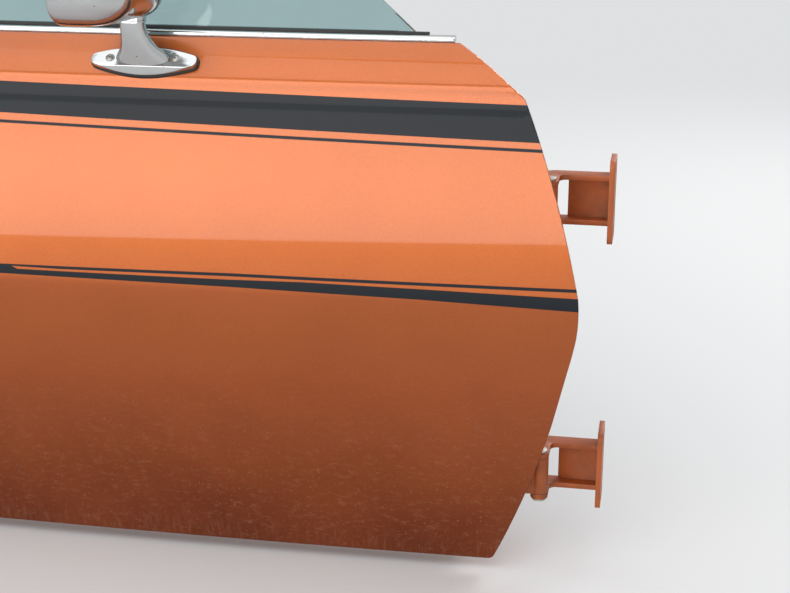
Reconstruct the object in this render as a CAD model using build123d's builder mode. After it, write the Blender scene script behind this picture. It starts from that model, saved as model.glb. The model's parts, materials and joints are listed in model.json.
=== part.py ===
from build123d import *
import os
from math import asin, cos, degrees, hypot, radians, sin, sqrt, tan

# Right-hand front door of a two-door muscle car, with its window up, its mirror and its two hinges.
# Millimetres. +X is the car's forward, +Y points into the car, +Z is up. The origin is the middle
# of the upper hinge's four bolt holes, on the face that meets the door pillar.

os.makedirs("parts", exist_ok=True)

# Where the door lies from the origin
tip_x = -30.0             # foremost point of the skin's front edge
face_y = -92.0            # outermost point of the body side, on its crease
sill_z = -430.0           # lower edge of the door

# Side view, from the tip and the lower edge: x forward, z up
belt_z = 600.0            # top edge of the skin
belt_front = -142.0       # where the belt's straight edge ends
kink = (-67.5, 547.6)     # corner between the belt's end and the front edge
brow = (-1.5, 337.0)      # top of the tight bend round the tip
chin = (-6.7, 267.0)      # bottom of that bend
toe_x = -92.0             # front end of the lower edge
rear_high_x = -1262.0
rear_low_x = rear_high_x + 12.0
belt_end_radius = 355.0
front_radius = 1100.0
tip_radius = 190.0
lower_front_radius = 1220.0
rear_low_corner = 42.0
rear_high_corner = 14.0
small_corner = 9.0

# Body side, a section bowed along the car
bow_x = -500.0            # station of the bow's outermost point
bow_radius = 15000.0
sweep_margin = 20.0       # how far the swept sections run past the skin
crease_z = 329.0
crest_z = 560.0
# height above the lower edge, depth inboard of the crease, outward bulge of the arc below it
side_stations = [
    (-30.0, 45.0, 0.0),
    (crease_z, 0.0, 8.3),
    (crest_z - 28.0, 30.0, 5.5),
    (crest_z, 33.1, -1.0),
    (belt_z + 13.0, 87.0, 5.4),
]

# Sheet metal
skin_wall = 1.0
hem = 3.0                 # folded edge of the skin
hem_width = 12.0
shell_wall = 1.2
rim_inset = 1.0           # edge of the shell's rim inside the skin's edge
shut_x = -90.0            # front shut face, which carries the hinges
rear_shut_x = rear_high_x + 26.0     # rear shut face, which carries the latch
shell_bottom_z = 14.0
shell_top_z = 594.0
ledge_depth = 114.0       # ledge that carries the seal
ledge_width = 36.0
shell_depth = 160.0       # inner face of the shell
shell_toe_back = 22.0     # front foot, behind the shut face
shell_toe_rise = 40.0
shell_shoulder_z = 500.0  # where the front turns back to the belt
shell_shoulder_back = 70.0
shell_corners = (14.0, 20.0, 24.0, 10.0, 6.0, 40.0)
body_reach = 60.0         # depth of the solid that pieces on the body side are cut by

# Hinges
hinge_spacing = 320.0
pin_x = -70.0             # hinge line, in the part's own frame
pin_y = -40.0
pin_radius = 5.0
pin_head_radius = 8.0
pin_head = 3.0
pin_fit = 0.02
running_gap = 0.05
barrel_radius = 10.0
barrel_height = 44.0
barrel_shoulder = 2.0     # the door arm's sides, inside the barrel's
side_gap = 0.3
ear = 6.0
leaf = 6.0
leaf_corner = 8.0
arm_inner_y = -12.0       # the pillar arm's run beside the shut face
arm_outer_y = 8.0
arm_inner_bend = 8.0
arm_outer_bend = 16.0
arm_web_gap = 8.5         # from the barrel to the web between the ears
bolt_hole_radius = 4.5
bolt_gap_y = 28.0
bolt_gap_z = 74.0
pillar_leaf_width = 52.0
pillar_leaf_height = 94.0
door_leaf_width = 44.0
door_leaf_height = 88.0
door_leaf_depth = 66.0    # middle of the leaf, inboard of the crease
door_arm = 12.0

# Window glass, leaning inboard as it rises
glass_wall = 4.8
glass_bottom_z = 520.0
glass_top_z = 938.0
glass_low_depth = 70.5
glass_high_depth = 198.0
glass_bulge = 15.2
glass_front = -184.0
glass_rear = rear_high_x + 34.0
glass_shoulder = -560.0   # where the raked front edge meets the top
glass_rear_lean = 46.0
glass_crown = 14.0        # rise of the top edge's arc
glass_rear_drop = 8.4     # rear end of that edge, below its crown
glass_shoulder_radius = 90.0
glass_corner = 38.0
glass_foot_corner = 20.0
glass_gap = 0.3

# Belt line
moulding_width = 13.5
moulding_height = 6.5
moulding_nose = 2.5
moulding_front = -146.0
moulding_rear = rear_high_x + 6.0
outer_seal_wall = 3.0
outer_seal_height = 9.0
inner_seal_wall = 3.4
inner_seal_foot = 6.5
inner_seal_height = 9.0
seal_lip = 3.0
slot_end = 8.0
slot_lip = 1.0            # edge of the glass slot, outboard of the moulding's inner face
slot_height = 24.0
garnish_height = 6.0
garnish_depth = shell_depth - 4.0
garnish_nose = 3.0
garnish_front_gap = 40.0

# Door mirror
mirror_x = -488.0
mirror_z = 574.0
mirror_length = 124.0
mirror_width = 37.0
mirror_gasket_top = 2.4
mirror_gasket_reach = 12.0
mirror_gasket_lip = 3.0
mirror_end = 0.36         # blunt end's width as a share of the pad's
mirror_pad = 5.5
mirror_pad_tilt = 13.0    # how far the pad's top turns up from the skin
mirror_wall_line = 9.4    # where the pad's lower wall leaves its top
mirror_wall_tilt = 53.0   # how far that wall turns down from the top
# stalk's sections: forward of the seat, depth, height, length, width, corner, lean of the plane
mirror_stalk = [
    (-1.1, 35.8, 580.6, 58.0, 19.5, 9.0, 53.0),
    (-1.8, 32.6, 586.6, 50.0, 18.2, 8.5, 60.0),
    (-4.0, 27.6, 598.5, 35.0, 17.6, 8.0, 72.0),
    (-5.2, 22.0, 621.0, 27.0, 18.0, 8.0, 90.0),
]
mirror_foot = (-1.1, 0.3)     # middle of the stalk's foot on the pad
mirror_foot_sink = 2.0
mirror_saddle_length = 62.0
mirror_saddle_width = 21.0
mirror_saddle_corner = 9.5
mirror_collar_length = 30.0
mirror_collar_width = 22.0
mirror_collar_height = 3.5
mirror_collar_corner = 8.8
head_turn = 12.0
head_width = 140.0
head_height = 94.0
head_length = 53.0        # from the rim to where the nose turns in
head_taper = 2.5
head_nose = 33.0
head_nose_taper = 35.0
head_corner = 32.0
head_rim = 4.0
head_recess = 9.0
mirror_glass_wall = 3.0
head_rear = 44.8          # the glass side, behind the neck
head_outboard = 25.0      # the head's middle, outboard of the neck

# Outside handle and lock
handle_x = rear_high_x + 127.0
handle_z = 458.0
handle_length = 152.0
handle_height = 44.0
handle_corner = 9.0
handle_lip = 5.0
handle_wall = 1.5
handle_cup = 16.0
handle_proud = 1.6
handle_root = 6.0         # how deep the frames are cut from before the skin trims them
handle_bend = 1.0
paddle_wall = 2.5
paddle_top = 14.0
paddle_foot = -6.0
paddle_back = 10.0
paddle_end_gap = 1.0
paddle_hook = 6.0
paddle_bevel = 1.0
paddle_edges = (0.0, 0.0, 0.0, 0.0, 0.8, 1.5)
lock_x = rear_high_x + 66.0
lock_z = 404.0
lock_radius = 12.5
lock_flange = 15.5
lock_face = 10.0
lock_proud = 2.0
lock_face_proud = 1.2
lock_length = 22.0

# Latch and its mouth in the rear shut face
mouth_z = 330.0
mouth_height = 16.0
mouth_reach = 18.0        # how far the striker enters, from the shut face
mouth_floor = 84.0        # outboard end of the mouth
mouth_clearance = 2.0
latch_length = 26.0
latch_height = 84.0
latch_depth = 46.0
latch_corner = 3.0
latch_wall = 6.0
fork_set = 6.0
fork_wall = 5.0
fork_radius = 17.0
fork_depth = 92.0
fork_drop = 7.65          # the fork's pivot, below the mouth
fork_bore = 4.0

# Seal and inner trim
seal_width = 12.0
seal_height = 12.0
seal_step = 7.2           # height of the seal's broad foot
seal_shoulder = 2.5
seal_margin = 2.0
seal_foot = 1.5
trim_inset = 5.0
trim_wall = 5.0
trim_top_gap = 1.0
trim_edge = 2.0
armrest_z = 292.0
armrest_height = 46.0
armrest_rear = -1010.0
armrest_front = -560.0
armrest_reach = 62.0
armrest_nose = 40.0       # front corner, behind the front end
armrest_nose_reach = 44.6
armrest_slope = 170.0
armrest_tail = 30.0
armrest_corners = (0.0, 0.0, 26.0, 60.0, 24.0)
release_x = -500.0
release_z = 430.0
release_plate = (104.0, 46.0)
release_plate_corner = 10.0
release_plate_wall = 3.0
release_pivot = 34.0      # forward of the plate's middle
release_hub = 11.0
release_hub_height = 9.0
release_front = 46.0
release_rear = 66.0
release_front_half = 9.0
release_rear_half = 7.0
release_wall = 7.0
release_corners = (8.0, 8.0, 6.0, 6.0)
crank_x = -430.0
crank_z = 262.0
crank_length = 92.0
crank_plate = 27.0
crank_plate_wall = 5.0
crank_plate_taper = 20.0
crank_hub = 12.0
crank_hub_height = 10.0
crank_root_half = 11.0
crank_tip = 8.0
crank_wall = 6.0
crank_stud = 6.0
crank_stud_height = 6.0
crank_grip = 12.0
crank_grip_height = 20.0
crank_grip_edge = 4.0
knob_x = rear_high_x + 112.0
knob_depth = shell_depth - 18.0
knob_collar = 7.0
knob_collar_height = 2.5
knob_rod = 3.0
knob_rod_height = 16.0
knob_radius = 6.0
knob_height = 14.0
knob_edge = 1.5
stop_radius = 9.0
stop_height = 7.0
stop_low_z = 200.0
stop_high_z = 470.0
stop_inset = 18.0         # outboard of the ledge
stop_taper = 12.0


def arc_radius(rise: float, run: float, bulge: float) -> float:
    """Radius of an arc from its chord and its bulge."""
    return ((rise**2 + run**2) / 4 + bulge**2) / (2 * bulge)


def side_arc(height: float) -> tuple[float, float]:
    """Depth of the body side at a height, and how far its face leans back, in degrees."""
    for (z0, d0, _), (z1, d1, bulge) in zip(side_stations, side_stations[1:]):
        if height <= z1:
            break
    chord = hypot(z1 - z0, d1 - d0)
    radius = arc_radius(z1 - z0, d1 - d0, bulge)
    middle_d = (d0 + d1) / 2 + (radius - bulge) * (z1 - z0) / chord
    middle_z = (z0 + z1) / 2 - (radius - bulge) * (d1 - d0) / chord
    lean = asin((height - middle_z) / radius)
    return middle_d - radius * cos(lean), degrees(lean)


def glass_depth(height: float) -> float:
    """Depth of the window glass's outer face at a height."""
    rise = glass_top_z - glass_bottom_z
    run = glass_high_depth - glass_low_depth
    chord = hypot(rise, run)
    radius = arc_radius(rise, run, glass_bulge)
    middle_d = (glass_low_depth + glass_high_depth) / 2 + (radius - glass_bulge) * rise / chord
    middle_z = (glass_bottom_z + glass_top_z) / 2 - (radius - glass_bulge) * run / chord
    return middle_d - sqrt(radius**2 - (height - middle_z) ** 2)


def at_depth(depth: float) -> Plane:
    """Side-view plane at a depth inboard of the crease, facing outboard."""
    return Plane(origin=(tip_x, face_y + depth, sill_z), x_dir=(1, 0, 0), z_dir=(0, -1, 0))


def bow_angle(x: float) -> float:
    """Turn of the bowed section at a station, in degrees."""
    return degrees(asin((x - bow_x) / bow_radius))


def bow_plane(x: float) -> Plane:
    """Section plane at a station: x inboard from the crease, y up from the lower edge."""
    turn = radians(bow_angle(x))
    return Plane(
        origin=(
            tip_x + bow_x + bow_radius * sin(turn),
            face_y + bow_radius * (1 - cos(turn)),
            sill_z,
        ),
        x_dir=(-sin(turn), cos(turn), 0),
        z_dir=(cos(turn), sin(turn), 0),
    )


def seat_plane(x: float, height: float) -> Plane:
    """Plane on the body side at a station and a height, facing straight off the surface."""
    depth, lean = side_arc(height)
    reach = bow_radius - depth
    turn = asin((x - bow_x) / reach)
    lean = radians(lean)
    return Plane(
        origin=(tip_x + x, face_y + bow_radius - reach * cos(turn), sill_z + height),
        x_dir=(cos(turn), sin(turn), 0),
        z_dir=(sin(turn) * cos(lean), -cos(turn) * cos(lean), sin(lean)),
    )


bow_axis = Axis((tip_x + bow_x, face_y + bow_radius, 0), (0, 0, 1))
sweep_rear = rear_high_x - sweep_margin
sweep_front = sweep_margin


def along_bow(rear: float, front: float) -> dict:
    """Sweep of a piece that follows the bow between two stations."""
    return {"axis": bow_axis, "revolution_arc": bow_angle(front) - bow_angle(rear)}


def side_line(shift: float) -> None:
    """The body side's arcs, moved in by a wall's thickness."""
    for (z0, d0, _), (z1, d1, bulge) in zip(side_stations, side_stations[1:]):
        chord = hypot(z1 - z0, d1 - d0)
        start = (d0 + shift, z0 - shift / 2)
        end = (d1 + shift, z1 - shift / 2)
        middle = (
            (d0 + d1) / 2 + shift - bulge * (z1 - z0) / chord,
            (z0 + z1) / 2 - shift / 2 + bulge * (d1 - d0) / chord,
        )
        ThreePointArc(start, middle, end)


def body_layer(near: float, far: float) -> Sketch:
    """Section between two depths below the body side's surface."""
    (z_low, d_low, _), (z_high, d_high, _) = side_stations[0], side_stations[-1]
    with BuildSketch(bow_plane(sweep_rear)) as layer:
        with BuildLine():
            side_line(near)
            side_line(far)
            Line((d_low + near, z_low - near / 2), (d_low + far, z_low - far / 2))
            Line((d_high + near, z_high - near / 2), (d_high + far, z_high - far / 2))
        make_face()
    return layer.sketch


def door_outline(inset: float) -> Sketch:
    """Side view of the skin, inset all round."""
    with BuildSketch(at_depth(0)) as outline:
        with BuildLine():
            RadiusArc((belt_front, belt_z), kink, belt_end_radius)
            RadiusArc(kink, brow, front_radius)
            RadiusArc(brow, chin, tip_radius)
            RadiusArc(chin, (toe_x, 0), lower_front_radius)
            Polyline((toe_x, 0), (rear_low_x, 0), (rear_high_x, belt_z), (belt_front, belt_z))
        make_face()
        for x, z, radius in (
            (rear_low_x, 0, rear_low_corner),
            (rear_high_x, belt_z, rear_high_corner),
            (belt_front, belt_z, small_corner),
            (toe_x, 0, small_corner),
        ):
            fillet(outline.vertices().sort_by_distance((x, z, 0))[0], radius)
        if inset:
            offset(amount=-inset)
    return outline.sketch


def shell_outline(depth: float, inset: float, top: float) -> Sketch:
    """Side view of the inner shell at a depth, inset at its front, foot and rear."""
    rise = top - shell_top_z + inset
    with BuildSketch(at_depth(depth)) as outline:
        with BuildLine():
            FilletPolyline(
                (shut_x - shell_toe_back, shell_bottom_z),
                (shut_x, shell_bottom_z + shell_toe_rise),
                (shut_x, shell_shoulder_z),
                (shut_x - shell_shoulder_back, shell_top_z + rise),
                (rear_shut_x, shell_top_z + rise),
                (rear_shut_x, shell_bottom_z),
                radius=shell_corners,
                close=True,
            )
        make_face()
        if inset:
            offset(amount=-inset)
    return outline.sketch


# Belt line, worked outwards from the glass
belt_glass = glass_depth(belt_z)
moulding_inner = belt_glass - outer_seal_wall
moulding_outer = moulding_inner - moulding_width
slot_outer = moulding_inner - slot_lip
slot_inner = belt_glass + glass_wall + inner_seal_wall
inner_foot = slot_inner + inner_seal_foot

# The body side as a solid, to cut pieces that sit on it
with BuildPart() as body_side:
    revolve(body_layer(0, body_reach), **along_bow(sweep_rear, sweep_front))

# Outer skin: one sheet with a folded edge
with BuildPart() as skin_pocket:
    revolve(body_layer(skin_wall, 2 * hem), **along_bow(sweep_rear, sweep_front))
    extrude(door_outline(hem_width), amount=2 * shell_depth, both=True, mode=Mode.INTERSECT)

handle_plane = seat_plane(handle_x, handle_z)
lock_plane = seat_plane(lock_x, lock_z)

with BuildPart() as outer_skin:
    revolve(body_layer(0, hem), **along_bow(sweep_rear, sweep_front))
    extrude(door_outline(0), amount=2 * shell_depth, both=True, mode=Mode.INTERSECT)
    add(skin_pocket.part, mode=Mode.SUBTRACT)
    with BuildSketch(handle_plane):
        RectangleRounded(
            handle_length - 2 * handle_lip, handle_height - 2 * handle_lip, handle_corner - handle_lip
        )
    with BuildSketch(lock_plane):
        Circle(lock_radius)
    extrude(amount=handle_cup, both=True, mode=Mode.SUBTRACT)
outer_skin.part.label = "outer_skin"
export_step(outer_skin.part, "parts/outer_skin.step")

# Inner shell: a stepped tray behind the skin, open where the glass drops in
with BuildPart() as shell_rim:
    revolve(body_layer(hem, hem + shell_wall), **along_bow(sweep_rear, sweep_front))
    extrude(door_outline(rim_inset), amount=2 * shell_depth, both=True, mode=Mode.INTERSECT)

with BuildPart() as outside:
    revolve(body_layer(-body_reach, hem), **along_bow(sweep_rear, sweep_front))

with BuildPart() as inner_shell:
    extrude(shell_outline(ledge_depth, 0, shell_top_z), amount=ledge_depth)
    extrude(
        shell_outline(shell_depth, ledge_width, shell_top_z),
        amount=shell_depth - ledge_depth + shell_wall,
    )
    add(outside.part, mode=Mode.SUBTRACT)
    add(shell_rim.part)
    extrude(
        shell_outline(ledge_depth - shell_wall, shell_wall, shell_top_z - shell_wall),
        amount=2 * shell_depth,
        mode=Mode.SUBTRACT,
    )
    extrude(
        shell_outline(shell_depth - shell_wall, ledge_width + shell_wall, shell_top_z - shell_wall),
        amount=shell_depth - ledge_depth,
        mode=Mode.SUBTRACT,
    )
    with BuildSketch(bow_plane(glass_rear - slot_end)):
        with Locations(((slot_outer + slot_inner) / 2, shell_top_z)):
            Rectangle(slot_inner - slot_outer, slot_height)
    revolve(**along_bow(glass_rear - slot_end, glass_front + slot_end), mode=Mode.SUBTRACT)
    with BuildSketch(at_depth(mouth_floor)):
        with Locations((rear_shut_x, mouth_z)):
            Rectangle(2 * mouth_reach, mouth_height)
    extrude(amount=-(ledge_depth - mouth_floor + mouth_clearance), mode=Mode.SUBTRACT)
inner_shell.part.label = "inner_shell"
export_step(inner_shell.part, "parts/inner_shell.step")


def follow_bow(rear: float, front: float, *corners: tuple[float, float]) -> Part:
    """Strip along the belt with a section given by its corners: depth, height."""
    with BuildPart() as strip:
        with BuildSketch(bow_plane(rear)):
            with BuildLine():
                Polyline(*corners, close=True)
            make_face()
        revolve(**along_bow(rear, front))
    return strip.part


# Belt: bright moulding and wiping seal outside, seal and garnish inside
with BuildPart() as belt_moulding:
    with BuildSketch(bow_plane(moulding_rear)):
        with BuildLine():
            FilletPolyline(
                (moulding_outer, belt_z),
                (moulding_outer, belt_z + moulding_height),
                (moulding_inner, belt_z + moulding_height),
                (moulding_inner, belt_z),
                radius=(moulding_nose / 2, moulding_nose, 0.0, 0.0),
                close=True,
            )
        make_face()
    revolve(**along_bow(moulding_rear, moulding_front))
belt_moulding.part.label = "belt_moulding"
export_step(belt_moulding.part, "parts/belt_moulding.step")


seal_top = belt_z + outer_seal_height
with BuildPart() as outer_belt_seal:
    add(
        follow_bow(
            glass_rear,
            glass_front + slot_end,
            (moulding_inner, belt_z),
            (moulding_inner, seal_top),
            (glass_depth(seal_top) - glass_gap, seal_top),
            (belt_glass - glass_gap, belt_z),
        )
    )
outer_belt_seal.part.label = "outer_belt_seal"
export_step(outer_belt_seal.part, "parts/outer_belt_seal.step")

seal_top = shell_top_z + inner_seal_height
with BuildPart() as inner_belt_seal:
    add(
        follow_bow(
            glass_rear,
            glass_front + slot_end,
            (slot_inner, shell_top_z),
            (inner_foot, shell_top_z),
            (inner_foot, shell_top_z + seal_lip),
            (slot_inner + seal_lip, seal_top),
            (glass_depth(seal_top) + glass_wall + glass_gap, seal_top),
            (glass_depth(seal_top - seal_lip) + glass_wall + glass_gap, seal_top - seal_lip),
        )
    )
inner_belt_seal.part.label = "inner_belt_seal"
export_step(inner_belt_seal.part, "parts/inner_belt_seal.step")

with BuildPart() as belt_garnish:
    with BuildSketch(bow_plane(glass_rear)):
        with BuildLine():
            FilletPolyline(
                (inner_foot, shell_top_z),
                (inner_foot, shell_top_z + garnish_height),
                (2 * shell_depth, shell_top_z + garnish_height),
                (2 * shell_depth, shell_top_z),
                radius=(0.0, garnish_nose, 0.0, 0.0),
                close=True,
            )
        make_face()
    revolve(**along_bow(glass_rear, glass_front + slot_end))
    garnish_rear = rear_shut_x + ledge_width
    garnish_front = glass_front - garnish_front_gap
    with BuildSketch(at_depth(garnish_depth)):
        with Locations(((garnish_rear + garnish_front) / 2, shell_top_z)):
            Rectangle(garnish_front - garnish_rear, 4 * garnish_height)
    extrude(amount=garnish_depth, mode=Mode.INTERSECT)
belt_garnish.part.label = "belt_garnish"
export_step(belt_garnish.part, "parts/belt_garnish.step")

# Window glass: curved sheet, raked at the front
glass_sweep_end = 30.0
with BuildPart() as window_glass:
    with BuildSketch(bow_plane(glass_rear - glass_sweep_end)):
        with BuildLine():
            # the arc runs past both ends of the glass, which its side view then trims
            for shift in (0, glass_wall):
                arc = [
                    (glass_depth(height) + shift, height)
                    for height in (
                        glass_bottom_z - glass_sweep_end,
                        (glass_bottom_z + glass_top_z) / 2,
                        glass_top_z + glass_sweep_end,
                    )
                ]
                ThreePointArc(*arc)
            for height in (glass_bottom_z - glass_sweep_end, glass_top_z + glass_sweep_end):
                depth = glass_depth(height)
                Line((depth, height), (depth + glass_wall, height))
        make_face()
    revolve(**along_bow(glass_rear - glass_sweep_end, glass_front + glass_sweep_end))
    shoulder = (glass_shoulder, glass_top_z - glass_crown)
    rear_corner = (glass_rear + glass_rear_lean, glass_top_z - glass_rear_drop)
    with BuildSketch(at_depth(0)) as window:
        with BuildLine():
            Polyline(
                shoulder,
                (glass_front, belt_z),
                (glass_front, glass_bottom_z),
                (glass_rear, glass_bottom_z),
                (glass_rear, belt_z),
                rear_corner,
            )
            ThreePointArc(rear_corner, ((shoulder[0] + rear_corner[0]) / 2, glass_top_z), shoulder)
        make_face()
        for (x, z), corner in (
            (shoulder, glass_shoulder_radius),
            (rear_corner, glass_corner),
            ((glass_front, glass_bottom_z), glass_foot_corner),
            ((glass_rear, glass_bottom_z), glass_foot_corner),
        ):
            fillet(window.vertices().sort_by_distance((x, z, 0))[0], corner)
    extrude(amount=2 * shell_depth, both=True, mode=Mode.INTERSECT)
window_glass.part.label = "window_glass"
export_step(window_glass.part, "parts/window_glass.step")

# Door mirror: boat-shaped base on a gasket, leaning stalk, housing turned towards the driver
mirror_seat = seat_plane(mirror_x, mirror_z)
mirror_top = mirror_seat.offset(mirror_gasket_top + mirror_pad).rotated((-mirror_pad_tilt, 0, 0))
mirror_wall = Plane(
    mirror_top.location * Location((0, -mirror_wall_line, 0), (mirror_wall_tilt, 0, 0))
)


def stalk_plane(forward: float, depth: float, height: float, lean: float) -> Plane:
    """Plane of one of the stalk's sections; a lean of 90 degrees faces straight up."""
    return Plane(
        origin=(tip_x + mirror_x + forward, face_y + depth, sill_z + height),
        x_dir=(1, 0, 0),
        z_dir=(0, -cos(radians(lean)), sin(radians(lean))),
    )


neck = mirror_stalk[-1]
mirror_neck = stalk_plane(neck[0], neck[1], neck[2], neck[6])
turn_x, turn_y = cos(radians(head_turn)), sin(radians(head_turn))
mirror_head = Plane(
    origin=mirror_neck.origin
    + Vector(
        -head_rear * turn_x - head_outboard * turn_y,
        head_rear * turn_y - head_outboard * turn_x,
        mirror_collar_height + head_height / 2 - head_rear * tan(radians(head_taper)),
    ),
    x_dir=(turn_y, turn_x, 0),
    z_dir=(turn_x, -turn_y, 0),
)


def boat(plane: Plane, length: float, width: float) -> Sketch:
    """Mirror base's footprint: two long arcs and blunt rounded ends."""
    tail = width * mirror_end
    with BuildSketch(plane) as footprint:
        with BuildLine():
            ThreePointArc((-length / 2, -tail / 2), (0, -width / 2), (length / 2, -tail / 2))
            ThreePointArc((-length / 2, tail / 2), (0, width / 2), (length / 2, tail / 2))
            Line((-length / 2, -tail / 2), (-length / 2, tail / 2))
            Line((length / 2, -tail / 2), (length / 2, tail / 2))
        make_face()
        fillet(footprint.vertices(), tail * 0.36)
    return footprint.sketch


with BuildPart() as mirror_gasket:
    extrude(
        boat(mirror_seat.offset(mirror_gasket_top), mirror_length, mirror_width),
        amount=-mirror_gasket_reach,
    )
    add(body_side.part, mode=Mode.SUBTRACT)
mirror_gasket.part.label = "mirror_gasket"
export_step(mirror_gasket.part, "parts/mirror_gasket.step")

with BuildPart() as mirror_base:
    extrude(
        boat(
            mirror_seat.offset(mirror_gasket_top),
            mirror_length - mirror_gasket_lip,
            mirror_width - mirror_gasket_lip,
        ),
        amount=2 * mirror_pad,
    )
    for face in (mirror_top, mirror_wall):
        split(bisect_by=face, keep=Keep.BOTTOM)
    with BuildSketch(mirror_top.offset(-mirror_foot_sink)):
        with Locations(mirror_foot):
            RectangleRounded(mirror_saddle_length, mirror_saddle_width, mirror_saddle_corner)
    for forward, depth, height, length, width, corner, lean in mirror_stalk:
        with BuildSketch(stalk_plane(forward, depth, height, lean)):
            RectangleRounded(length, width, corner)
    loft(ruled=True)
mirror_base.part.label = "mirror_base"
export_step(mirror_base.part, "parts/mirror_base.step")

with BuildPart() as mirror_housing:
    with BuildSketch(mirror_head):
        RectangleRounded(head_width, head_height, head_corner)
    extrude(amount=head_length, taper=head_taper)
    extrude(
        mirror_housing.faces().sort_by(Axis(mirror_head.origin, mirror_head.z_dir))[-1],
        amount=head_nose,
        taper=head_nose_taper,
    )
    with BuildSketch(mirror_head):
        RectangleRounded(head_width - 2 * head_rim, head_height - 2 * head_rim, head_corner - head_rim)
    extrude(amount=head_recess, mode=Mode.SUBTRACT)
mirror_housing.part.label = "mirror_housing"
export_step(mirror_housing.part, "parts/mirror_housing.step")

with BuildPart() as mirror_collar:
    with BuildSketch(mirror_neck):
        RectangleRounded(mirror_collar_length, mirror_collar_width, mirror_collar_corner)
    extrude(amount=head_height / 2)
    add(mirror_housing.part, mode=Mode.SUBTRACT)
mirror_collar.part.label = "mirror_collar"
export_step(mirror_collar.part, "parts/mirror_collar.step")

with BuildPart() as mirror_glass:
    glass_rim = head_rim + glass_gap
    with BuildSketch(mirror_head.offset(head_recess - mirror_glass_wall)):
        RectangleRounded(
            head_width - 2 * glass_rim, head_height - 2 * glass_rim, head_corner - glass_rim
        )
    extrude(amount=mirror_glass_wall)
mirror_glass.part.label = "mirror_glass"
export_step(mirror_glass.part, "parts/mirror_glass.step")

# Outside handle: a cup let into the skin, with a lift paddle, and a lock below it
with BuildPart() as handle_escutcheon:
    with BuildSketch(handle_plane.offset(-handle_root)):
        RectangleRounded(handle_length, handle_height, handle_corner)
    extrude(amount=handle_root + handle_proud)
    add(body_side.part, mode=Mode.SUBTRACT)
    with BuildSketch(handle_plane.offset(handle_proud)):
        RectangleRounded(
            handle_length - 2 * handle_lip - 2 * glass_gap,
            handle_height - 2 * handle_lip - 2 * glass_gap,
            handle_corner - handle_lip,
        )
    extrude(amount=-(handle_cup + handle_proud))
    with BuildSketch(handle_plane.offset(handle_proud)):
        RectangleRounded(
            handle_length - 2 * handle_lip - 2 * handle_wall,
            handle_height - 2 * handle_lip - 2 * handle_wall,
            handle_corner - handle_lip - handle_wall + handle_bend,
        )
    extrude(amount=-(handle_cup + handle_proud - handle_wall), mode=Mode.SUBTRACT)
handle_escutcheon.part.label = "handle_escutcheon"
export_step(handle_escutcheon.part, "parts/handle_escutcheon.step")

paddle_length = handle_length - 2 * (handle_lip + handle_wall + paddle_end_gap)
with BuildPart() as handle_paddle:
    with BuildSketch(
        Plane(
            origin=handle_plane.origin - handle_plane.x_dir * paddle_length / 2,
            x_dir=-handle_plane.z_dir,
            z_dir=handle_plane.x_dir,
        )
    ):
        with BuildLine():
            FilletPolyline(
                (paddle_back, paddle_top),
                (paddle_back, paddle_top - paddle_hook),
                (-handle_proud + paddle_wall, paddle_top - paddle_hook),
                (-handle_proud + paddle_wall, paddle_foot + paddle_bevel),
                (-handle_proud, paddle_foot),
                (-handle_proud, paddle_top),
                radius=paddle_edges,
                close=True,
            )
        make_face()
    extrude(amount=paddle_length)
handle_paddle.part.label = "handle_paddle"
export_step(handle_paddle.part, "parts/handle_paddle.step")

with BuildPart() as lock_cylinder:
    with BuildSketch(lock_plane.offset(-handle_root)):
        Circle(lock_flange)
    extrude(amount=handle_root + lock_proud)
    add(body_side.part, mode=Mode.SUBTRACT)
    with BuildSketch(lock_plane.offset(lock_proud)):
        Circle(lock_radius - glass_gap)
    extrude(amount=-(lock_length + lock_proud))
    with BuildSketch(lock_plane.offset(lock_proud)):
        Circle(lock_face)
    extrude(amount=lock_face_proud)
lock_cylinder.part.label = "lock_cylinder"
export_step(lock_cylinder.part, "parts/lock_cylinder.step")

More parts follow.
